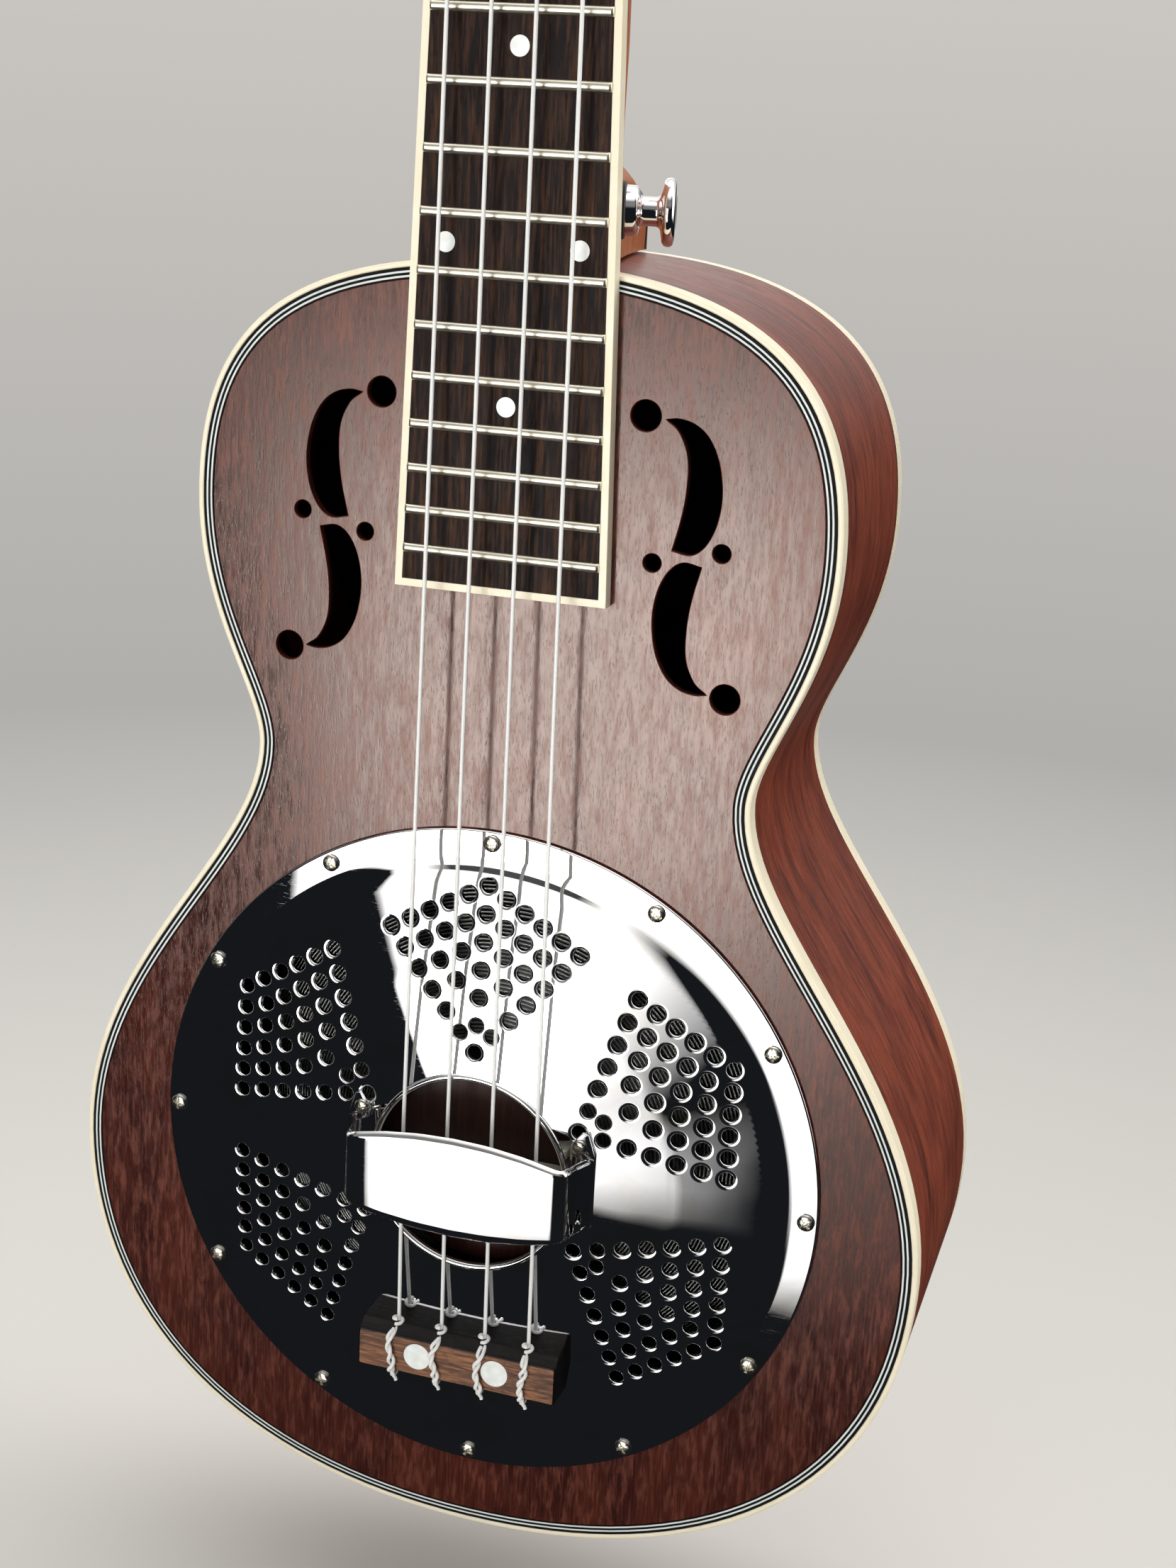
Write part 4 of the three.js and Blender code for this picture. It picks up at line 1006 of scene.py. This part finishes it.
def string_path(i):
    """From the tie block over the saddle and the nut to the post, with eased corners."""
    x, nut_x = STRING_AT_SADDLE[i], STRING_AT_NUT[i]
    side, z = TUNER_PLACES[i]
    beside = side * (POST_X - POST_WAIST_RADIUS - STRING_RADIUS)
    corners = np.array([(x, STRING_TIE_Y, -51.9), (x, STRING_TIE_Y - 0.1, -39.5),
                        (x, STRING_SADDLE_Y, 0), (nut_x, STRING_NUT_Y, SCALE_LENGTH + 2),
                        in_head([(beside, STRING_POST_Y, z - 1)])[0]])
    points = [corners[0]]
    for before, corner, after in zip(corners, corners[1:], corners[2:]):
        for other in (before, after):
            points.append(corner + unit(other - corner) * STRING_BEND)
    points.append(corners[-1])
    return points


def tie_knot(i):
    """The string's tail: out at the back, over the block, round itself and twisted back."""
    x = STRING_AT_SADDLE[i]
    r = STRING_RADIUS
    top = TIE_TOP_Y - r - 0.05
    over = [(x, STRING_TIE_Y, -51.3), (x, STRING_TIE_Y - 0.3, -52.6), (x, -6.2, -53.1),
            (x, top + 0.5, -52.4), (x, top, -50.8)]
    shells = [tube(curve_through(over, 6), r)]
    t = np.linspace(0, 1, 72)
    turns = 1.7 + 0.35 * (i % 2)
    angle = TURN * turns * t ** 0.85 + 1.3 * i
    swing = 0.46 + 0.14 * np.sin(2.3 * pi * t + i)
    lean = -0.8 + 0.3 * i
    middle_x = x + lean * np.sin(pi * t) * 0.7 + 0.4 * np.sin(TURN * t + i)
    z = -50.9 + 9.7 * t
    droop = 2.3 * np.clip((t - 0.84) / 0.16, 0, 1) ** 1.5
    for phase in (0, pi):
        path = stacked(middle_x + swing * np.cos(angle + phase),
                       top - 0.44 + swing * np.sin(angle + phase) + droop, z)
        shells.append(tube(path, r * 0.98))
    a = np.linspace(-0.3, TURN + 0.2, 30)
    loop = stacked(x + 1.0 * np.sin(a), STRING_TIE_Y - 0.55 - 1.0 * np.cos(a),
                   -40.6 + 1.3 * a / TURN)
    shells.append(tube(loop, r))
    tail = [(middle_x[0] + 0.2, top - 0.1, -50.9), (x + 0.5, top + 0.1, -52.3),
            (x + 0.75, top + 0.55, -53.1), (x + 0.9, top + 0.6, -53.7)]
    shells.append(tube(curve_through(tail, 5), r * 0.95))
    return shells


WINDING_TURNS = 3


def post_winding(i):
    """The turns of string round a tuner post, in the working axes."""
    side, z = TUNER_PLACES[i]
    radius = POST_WAIST_RADIUS + STRING_RADIUS
    t = np.linspace(0, 1, 40 * WINDING_TURNS)
    start = pi if side > 0 else 0
    angle = start - side * TURN * WINDING_TURNS * t
    y = STRING_POST_Y - STRING_RADIUS + 1.9 * STRING_RADIUS * WINDING_TURNS * t
    path = stacked(side * POST_X + radius * np.cos(angle), y, z + radius * np.sin(angle))
    return moved(tube(path, STRING_RADIUS, 10), in_head)


def make_strings():
    for i in range(4):
        shells = [tube(string_path(i), STRING_RADIUS, 14)] + tie_knot(i)
        make(f"string_{i + 1}_nylon", shells, nylon, f"string_{i + 1}", sharp=70)
        make(f"tuner_{i + 1}_winding", [post_winding(i)], nylon, body=f"tuner_{i + 1}_roller",
             sharp=70)


# -------- neck


def board_half_width(z):
    share = (np.asarray(z, float) - BOARD_END_Z) / (SCALE_LENGTH - BOARD_END_Z)
    return (BOARD_END_WIDTH + (NUT_WIDTH - BOARD_END_WIDTH) * share) / 2


def board_outline(inset):
    low = BOARD_END_Z + inset
    wide, narrow = board_half_width(low) - inset, board_half_width(SCALE_LENGTH) - inset
    return np.array([(-wide, low), (wide, low), (narrow, SCALE_LENGTH), (-narrow, SCALE_LENGTH)])


def fret_z(number):
    return SCALE_LENGTH * 2 ** (-number / 12)


FRET_ENDS = [(1, 0.25), (0.995, 0.6), (0.985, 0.85), (0.965, 1.0)]   # shares of width and height


def fret(number):
    """A crowned wire across the board with rounded ends, sunk a little into the wood."""
    z = fret_z(number)
    half = float(board_half_width(z)) - BOARD_BINDING + 0.1
    angle = np.linspace(0, pi, 13)
    stations = [(-half * reach, size) for reach, size in FRET_ENDS]
    stations += [(-x, size) for x, size in stations[::-1]]
    rows = []
    for x, size in stations:
        crown_z = z + np.cos(angle) * (0.8 + 0.2 * size)
        crown_y = FRET_HEIGHT - FRET_HEIGHT * np.sin(angle) ** 0.8 * size
        foot = [(x, FRET_HEIGHT + 0.3, z - 0.9), (x, FRET_HEIGHT + 0.3, z + 0.9)]
        rows.append(np.vstack([stacked(x, crown_y, crown_z), foot]))
    return skin(rows)


DOT_RADIUS = 2.0
DOT_FRETS = [5, 7, 9, 15]
DOUBLE_DOT_FRET = 12
DOUBLE_DOT_X = 13.9


def board_dots():
    places = [(0.0, (fret_z(n) + fret_z(n - 1)) / 2) for n in DOT_FRETS]
    middle = (fret_z(DOUBLE_DOT_FRET) + fret_z(DOUBLE_DOT_FRET - 1)) / 2
    places += [(-DOUBLE_DOT_X, middle), (DOUBLE_DOT_X, middle)]
    return [disc(DOT_RADIUS, FRET_HEIGHT - 0.03, FRET_HEIGHT + 0.4, x, z, 0.02) for x, z in places]


# Places up the neck: z, depth behind the top, half the flat's width, and how round it is behind.
NECK_STATIONS = [
    (BODY_JOINT_Z, HEEL_DEPTH, 9, 0.8), (203, HEEL_DEPTH, 9, 0.8), (206.6, 57.6, 7, 0.85),
    (209, 52.5, 7, 0.9), (213, 43, 6, 0.95), (219, 32, 3, 1.15), (227, 23.5, 0, 1.5),
    (238, 18.5, 0, 1.9), (255, 17, 0, 2.1), (290, 16.6, 0, 2.1), (335, 16.1, 0, 2.1),
    (370, 15.6, 0, 2.1), (377, 14.9, 0, 2.4), (383, 13.5, 0, 3.6), (388, 12.4, 1, 5),
    (394, 11.9, 2, 6)]


def neck_shaft():
    """The neck with its heel, flat under the fingerboard and rounded behind."""
    stations = curve_through(NECK_STATIONS, 6)
    angle = np.linspace(0, pi / 2, 25)
    loops = []
    for z, depth, end_half, roundness in stations:
        end_half = max(0.05, end_half)
        width = float(board_half_width(min(z, SCALE_LENGTH))) - 0.02
        across = np.cos(angle).clip(0) ** (2 / roundness)
        back = np.sin(angle) ** (2 / roundness)
        right = stacked(end_half + (width - end_half) * across, TOP_Y + depth * back, z)
        left = right[::-1] * (-1, 1, 1)
        loops.append(np.vstack([right, left]))
    return skin(loops)


HEAD_HALF = [(16.6, 0), (17.2, 8), (22.5, 22), (24.5, 40), (26.5, 84), (27.6, 108)]
HEAD_CROWN = [(27.6, 108), (24, 118), (12, 121), (0, HEAD_LENGTH)]


def head_outline(inset):
    side = curve_through(HEAD_HALF, 8)[:-1]
    crown = curve_through(HEAD_CROWN, 8)[:-1]
    right = np.vstack([side, crown])
    loop = np.vstack([right, [(0, HEAD_LENGTH)], (right * (-1, 1))[::-1]])
    return shifted(turned_to(loop, 1), inset) if inset else loop


HEEL_CAP = [(-9, BODY_JOINT_Z), (9, BODY_JOINT_Z), (9, 203), (6.5, 207), (-6.5, 207), (-9, 203)]
HEEL_CAP_THICKNESS = 2.2


def make_neck():
    bores = [circle(POST_BORE_RADIUS, 32, side * POST_X, z) for side, z in TUNER_PLACES]
    head = moved(slab(head_outline(0), bores, VENEER, HEAD_BACK_Y, 1.2, 4), in_head)
    make("neck_carved", [neck_shaft(), head], neck_wood, "neck")
    veneer = moved(slab(head_outline(0.02), bores, 0, VENEER, 0.3), in_head)
    make("headstock_face", [veneer], head_wood, "headstock_veneer")
    rim, inner = board_outline(0), board_outline(BOARD_BINDING)
    board = slab(inner, [], FRET_HEIGHT, TOP_Y, 0.02, 1)
    make("fingerboard_slab", [board], board_wood, "fingerboard")
    u_shape = [rim[3], *rim[:3], *inner[2::-1], inner[3]]
    make("fingerboard_binding_strip", [slab(u_shape, [], FRET_HEIGHT - 0.02, TOP_Y, 0.12)], ivory,
         "fingerboard_binding")
    make("frets", [fret(n) for n in range(1, FRETS + 1)], fret_metal, sharp=50)
    make("position_dots", board_dots(), pearl_dot)
    make("nut_bone", [nut()], bone, "nut")
    cap_front = TOP_Y + HEEL_DEPTH
    cap = slab(HEEL_CAP, [], cap_front, cap_front + HEEL_CAP_THICKNESS, 0.4)
    make("heel_cap_plate", [cap], board_wood, "heel_cap")


# Across the nut, from its front to its top to its back: how far below its top, and z.
NUT_PROFILE = [(0.25, 0), (0, 0.25), (0.05, 1.8), (0.6, 3.4), (1.4, 4.4)]


def nut():
    """The bone nut: rounded over towards the head, with a slot under each string."""
    half = NUT_WIDTH / 2
    places = np.unique(np.concatenate([np.linspace(-half, half, 60)]
                                      + [s + np.linspace(-0.8, 0.8, 17) for s in STRING_AT_NUT]))
    near = np.min(np.abs(places[:, None] - STRING_AT_NUT), axis=1)
    slot = np.sqrt(np.clip(STRING_RADIUS ** 2 - near ** 2, 0, None))
    front = np.where(near < STRING_RADIUS, STRING_NUT_Y + slot, STRING_NUT_Y - 0.15)
    front += 0.35 * (1 - np.minimum(1, (half - np.abs(places)) / 0.5)) ** 2
    loops = []
    for x, y in zip(places, front):
        crown = [(x, y + sink, SCALE_LENGTH + z) for sink, z in NUT_PROFILE]
        loops.append([(x, TOP_Y, crown[0][2])] + crown + [(x, TOP_Y, crown[-1][2])])
    return skin(loops)


# -------- strap buttons

STRAP_PROFILE = [(0, -9.0), (2.6, -9.0), (3.1, -9.7), (3.6, -9.88), (5.4, -9.78), (6.2, -9.5),
                 (6.6, -9.0), (6.65, -8.4), (6.5, -7.8), (6.0, -7.35), (4.8, -7.1), (3.5, -6.85),
                 (3.0, -6.5), (2.85, -5.9), (2.85, -3.7), (3.0, -3.05), (3.5, -2.7), (4.3, -2.5),
                 (4.75, -2.1), (4.9, -1.5), (4.9, 0), (0, 0)]
WASHER_PROFILE = [(0, 0.05), (5.2, 0.05), (5.6, 0.3), (5.6, 1.1), (0, 1.1)]
WASHER_SPACE = 1.5        # from the wood to the button's base
HEEL_BUTTON = (17.3, 14, 203.8)
TAIL_BUTTON_Y = 42


def on_heel(points):
    """From a strap button's own frame, its head towards negative y, to the heel's flank."""
    c, s = cos(HEEL_FLANK_ANGLE), sin(HEEL_FLANK_ANGLE)
    x, y, z = (points - (0, WASHER_SPACE, 0)).T
    return stacked(-x * s - y * c, x * c - y * s, z) + HEEL_BUTTON


def on_tail(points):
    """From a strap button's own frame to the middle of the tail."""
    x, y, z = (points - (0, WASHER_SPACE, 0)).T
    return stacked(x, TAIL_BUTTON_Y - z, y + OUTLINE_BOTTOM)


def make_strap_buttons():
    screw_seat = (0, STRAP_PROFILE[0][1] - 0.05, 0)
    for name, place in (("strap_button_heel", on_heel), ("strap_button_tail", on_tail)):
        make(f"{name}_turned", [moved(lathe(STRAP_PROFILE, 64), place)], chrome, name, sharp=50)
        make(f"{name}_screw", [moved(screw(STRAP_SCREW, 0, screw_seat), place)], nickel, sharp=30)
        make(f"{name}_felt", [moved(lathe(WASHER_PROFILE, 48), place)], black_felt,
             f"{name}_washer")


# -------- tuners


def at_tuner(number, shells):
    """Moves shells from a tuner's own frame, centred on its post, to the working axes."""
    side, z = TUNER_PLACES[number]
    return [moved(offset(shell, (side * POST_X, 0, z)), in_head) for shell in shells]


def gear():
    """The wheel on the post, its tooth's flanks at half widths along the arc, and its screw."""
    root, tip = GEAR_PITCH_RADIUS - 0.8, GEAR_PITCH_RADIUS + 0.4
    flank = [(root, 0.5), (root + 0.35, 0.44), (tip - 0.15, 0.27), (tip, 0.16)]
    tooth = [(radius, -half) for radius, half in flank] + flank[::-1]
    points = []
    for i in range(GEAR_TEETH):
        for radius, half in tooth:
            angle = TURN * i / GEAR_TEETH - pi / 2 + half / radius
            points.append((radius * cos(angle), radius * sin(angle)))
    y0, y1 = GEAR_Y - GEAR_WIDTH / 2, GEAR_Y + GEAR_WIDTH / 2
    wheel = slab(points, [circle(1.8, 24)], y0, y1, 0.12, 2)
    return [wheel, offset(flipped(screw_head(*GEAR_SCREW)), (0, y1, 0))]


def worm(side):
    """A right-hand thread on a shaft along x, with a gap facing the wheel at x = 0."""
    pitch = TURN * GEAR_PITCH_RADIUS / GEAR_TEETH
    turns, per_turn = 3, 28
    root = WORM_CORE - 0.25
    loops = []
    for i in range(turns * per_turn + 1):
        turn = i / per_turn - turns / 2
        middle = pitch * (turn - 0.5)
        angle = TURN * turn
        fade = min(1, i / 10, (turns * per_turn - i) / 10)
        tip = WORM_CORE + (WORM_TIP - WORM_CORE) * fade
        flank = [(root, -0.52), (tip - 0.12, -0.27), (tip, -0.17)]
        corners = flank + [(r, -x) for r, x in flank[::-1]]
        loops.append([(middle + x, -r * sin(angle), r * cos(angle)) for r, x in corners])
    start, end = sorted([(BUTTON_X - POST_X + 7) * side, -8.6 * side])
    shaft = [(0, start), (WORM_CORE - 0.2, start), (WORM_CORE, start + 0.2),
             (WORM_CORE, end - 0.2), (WORM_CORE - 0.2, end), (0, end)]
    turned = [lathe(shaft, 28)]
    for x in COLLARS:
        collar = [(WORM_CORE, x - 0.15), (2.0, x - 0.15), (2.0, x + 0.15), (WORM_CORE, x + 0.15)]
        turned.append(lathe(collar + collar[:1], 28))
    shells = [skin(loops)] + [along_x(shell) for shell in turned]
    return [offset(shell, (0, GEAR_Y, -WORM_DROP)) for shell in shells]


def tuner_plate():
    """The plate with a hole for the post and two ears that carry the worm."""
    shells = [slab(rounded_rectangle(*TUNER_PLATE, 2.2), [circle(PLATE_HOLE_RADIUS, 28)],
                   PLATE_FRONT_Y, PLATE_BACK_Y, 0.2)]
    angle = np.linspace(0, pi, 15)
    ear = np.vstack([np.stack([GEAR_Y + 2.2 * np.sin(angle), 2.3 * np.cos(angle)], 1),
                     [(PLATE_BACK_Y - 0.1, -2.6), (PLATE_BACK_Y - 0.1, 2.6)]])
    bore = circle(WORM_CORE + 0.1, 20, GEAR_Y, 0)
    standing = along_x(slab(ear, [bore], -0.95, 0.95, 0.15, 2))
    return shells + [offset(standing, (x, 0, -WORM_DROP)) for x in EARS]


def tuner_screws():
    return [offset(flipped(screw(PLATE_SCREW, 20 + 31 * i, (0, 0, 0))), (x, PLATE_BACK_Y, z))
            for i, (x, z) in enumerate(PLATE_SCREWS)]


POST_PROFILE = [(0, -9.4), (1.9, -9.4), (2.4, -9.25), (2.75, -8.9), (3, -8.5), (2.9, -7.9),
                (2.65, -7.0), (2.6, -6.2), (2.6, -3.6), (2.7, -2.7), (3, -1.8), (3, 15.5),
                (1.45, 15.5), (1.45, 19), (0, 19)]
BUTTON_PROFILE = [(1.7, 0), (3.4, 0.05), (3.9, 0.5), (4.6, 2.0), (5.9, 4.2), (6.9, 6.6), (7, 8.2),
                  (6.7, 10.8), (5.7, 13.0), (4, 14.4), (2, 14.9), (0, BUTTON_LENGTH)]
BUTTON_FLATNESS = 0.55


def tuner_button(side):
    """A flattened oval knob on the outer end of the worm's shaft."""
    profile = np.vstack([[(0, 0.02)], curve_through(BUTTON_PROFILE, 4)])
    points, faces = along_x(lathe(profile, 56))
    start = (side * (BUTTON_X - POST_X), GEAR_Y, -WORM_DROP)
    return points * (side, BUTTON_FLATNESS, 1) + start, faces


FERRULE_PROFILE = [(3.15, -0.05), (3.15, -1.3), (3.7, -1.4), (4.6, -0.9), (5.1, -0.2),
                   (5.1, 0.02), (3.15, -0.05)]


def make_tuners():
    ferrules = []
    for i, (side, _) in enumerate(TUNER_PLACES):
        name = f"tuner_{i + 1}"
        knob, roller = f"{name}_knob", f"{name}_roller"
        make(f"{name}_plate_pressed", at_tuner(i, tuner_plate()), nickel, f"{name}_plate")
        make(f"{name}_plate_screws", at_tuner(i, tuner_screws()), nickel, sharp=30)
        make(f"{name}_post_turned", at_tuner(i, [lathe(POST_PROFILE, 40)]), nickel,
             f"{name}_post", roller)
        make(f"{name}_gear_cut", at_tuner(i, gear()), nickel, f"{name}_gear", roller, 28)
        make(f"{name}_worm_cut", at_tuner(i, worm(side)), nickel, f"{name}_worm", knob, 28)
        make(f"{name}_button_pearl", at_tuner(i, [tuner_button(side)]), pearl_button,
             f"{name}_button", knob, 60)
        ferrules += at_tuner(i, [lathe(FERRULE_PROFILE, 48)])
    make("post_ferrules", ferrules, nickel)


# -------- inner framing

INNER_WOOD = ("top_lining", "back_lining", "upper_top_brace", "back_brace", "soundwell",
              "neck_block", "tail_block")


def finish_inner_nodes():
    """Gives the frame's own nodes inside the body their finishes: near-black painted shade on the
    wood, nickel on the biscuit screw.
    """
    for name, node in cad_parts.items():
        if name.startswith(INNER_WOOD):
            node.material_slots[0].material = shaded_inner_wood
    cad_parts["biscuit_screw"].material_slots[0].material = nickel


make_body()
make_resonator()
make_strings()
make_neck()
make_strap_buttons()
make_tuners()
finish_inner_nodes()

# -------- floor, light and camera

FLOOR_DROP = 0.03
FLOOR_RADIUS = 6.0


def make_floor():
    """A pale disc that fades into the backdrop with distance."""
    material, t = new_tree("pale_floor")
    x, y, _ = t.split(t.place((0.001, 0.001, 0.001)))
    colour = t.mix(t.noise((0.002, 0.002, 0.002), 2), rgb(196, 194, 190), rgb(206, 204, 200))
    solid = t.add("ShaderNodeBsdfPrincipled", {"Base Color": colour, "Roughness": 0.8})
    clear = t.add("ShaderNodeBsdfTransparent")
    fade = t.ramp(t.distance(x, y), 0.15, 0.9)
    mixed = t.add("ShaderNodeMixShader", {0: fade, 1: solid, 2: clear})
    t.add("ShaderNodeOutputMaterial", {"Surface": mixed})
    mesh = bpy.data.meshes.new("floor")
    made = bmesh.new()
    bmesh.ops.create_circle(made, cap_ends=True, segments=96, radius=FLOOR_RADIUS)
    made.to_mesh(mesh)
    made.free()
    mesh.materials.append(material)
    floor = add_object("floor", mesh)
    floor.location = (0, 0, cad_low.z - FLOOR_DROP)
    floor.visible_glossy = False


# Soft panels round the room: azimuth range, elevation range, softness in degrees, strength.
SOFT_PANELS = [
    ((84, 128), (-6, 50), 8, 2.6),
    ((-125, -90), (-10, 40), 8, 0.9),
    ((-70, 60), (18, 50), 6, 0.22),
    ((-172, -110), (-35, 20), 8, 0.9)]
# The window in front of the instrument, its glowing middle and the table below it.
WINDOW_ELEVATION = (-29.3, 14, 0.7)
WINDOW_GLOW = ((-24.5, -9.5), (-21, -7.5), 3.5, 11.5)
WINDOW_STRENGTH = 1.7
TABLE_GLOW = ((-10, 4), (-28, -20), 2.5, 0.8)
LIGHT_COLOUR = (1.0, 0.985, 0.96)


def make_world():
    """A pale backdrop for the camera, and round it a dark studio with soft bright panels."""
    world = bpy.data.worlds.new("studio")
    bpy.context.scene.world = world
    world.use_nodes = True
    t = Tree(world.node_tree)
    x, y, z = t.split(t.add("ShaderNodeTexCoord", output="Generated"))
    azimuth = t.math("ARCTAN2", x, t.times(y, -1.0))
    elevation = t.math("ARCSINE", z)

    def panel(value, low, high, soft, soft_high=None):
        low, high, soft, soft_high = (radians(d) for d in (low, high, soft, soft_high or soft))
        rise = t.ramp(value, low - soft, low + soft)
        fall = t.ramp(value, high - soft_high, high + soft_high, 1.0, 0.0)
        return t.times(rise, fall)

    def glow(azimuth_range, elevation_range, soft, strength):
        return t.times(panel(azimuth, *azimuth_range, soft),
                       panel(elevation, *elevation_range, soft), strength)

    lean = t.math("MAXIMUM", elevation, radians(-16))
    left_edge = t.math("MULTIPLY_ADD", lean, 0.326, azimuth)
    right_edge = t.math("MULTIPLY_ADD", elevation, -0.25, azimuth)
    height = panel(elevation, *WINDOW_ELEVATION)
    window = t.times(panel(left_edge, -29.5, 60, 0.6), panel(right_edge, -60, 1.0, 0.6, 5.0),
                     height, t.plus(glow(*WINDOW_GLOW), WINDOW_STRENGTH))
    above = t.ramp(elevation, radians(42), radians(62), 0.0, 1.8)
    behind = t.times(t.ramp(y, 0.05, 0.45, 0.0, 0.9), t.ramp(elevation, 0.0, radians(25)))
    total = t.plus(window, t.times(glow(*TABLE_GLOW), height), above, behind,
                   *[glow(*soft_panel) for soft_panel in SOFT_PANELS])
    warm = t.add("ShaderNodeBackground", {"Color": LIGHT_COLOUR + (1.0,), "Strength": total})
    dusk = t.add("ShaderNodeBackground", {"Color": (0.75, 0.85, 1.0, 1.0), "Strength": 0.012})
    studio = t.add("ShaderNodeAddShader", {0: warm, 1: dusk})
    backdrop = t.mix(t.ramp(z, -0.3, 0.25), rgb(172, 171, 168), rgb(216, 211, 206))
    seen = t.add("ShaderNodeBackground", {"Color": backdrop, "Strength": 1.0})
    camera_ray = t.add("ShaderNodeLightPath", output="Is Camera Ray")
    mixed = t.add("ShaderNodeMixShader", {0: camera_ray, 1: studio, 2: seen})
    t.add("ShaderNodeOutputWorld", {"Surface": mixed})


LENS = 50.55
SENSOR = 36.0
CAMERA_PLACE = (0.14742, -0.42484, -0.17118)
CAMERA_RIGHT = Vector((0.95115, 0.30466, 0.05000))
CAMERA_UP = Vector((-0.13391, 0.26118, 0.95596))


def make_fill():
    """A broad soft fill from the front that shows in no reflection."""
    lamp = bpy.data.lights.new("front_fill", "SUN")
    lamp.energy = 1.5
    lamp.angle = radians(70)
    lamp.color = LIGHT_COLOUR
    fill = add_object("front_fill", lamp)
    fill.rotation_euler = Vector((0.12, 1.0, 0.05)).to_track_quat("-Z", "Y").to_euler()
    fill.visible_glossy = False


def make_camera():
    data = bpy.data.cameras.new("camera")
    data.sensor_width = SENSOR
    data.lens = LENS
    data.clip_start = 0.01
    camera = add_object("camera", data)
    turn = Matrix((CAMERA_RIGHT, CAMERA_UP, CAMERA_RIGHT.cross(CAMERA_UP))).transposed()
    camera.matrix_world = Matrix.Translation(CAMERA_PLACE) @ turn.to_4x4()
    bpy.context.scene.camera = camera


make_floor()
make_world()
make_fill()
make_camera()
bpy.context.scene.view_settings.view_transform = "Standard"
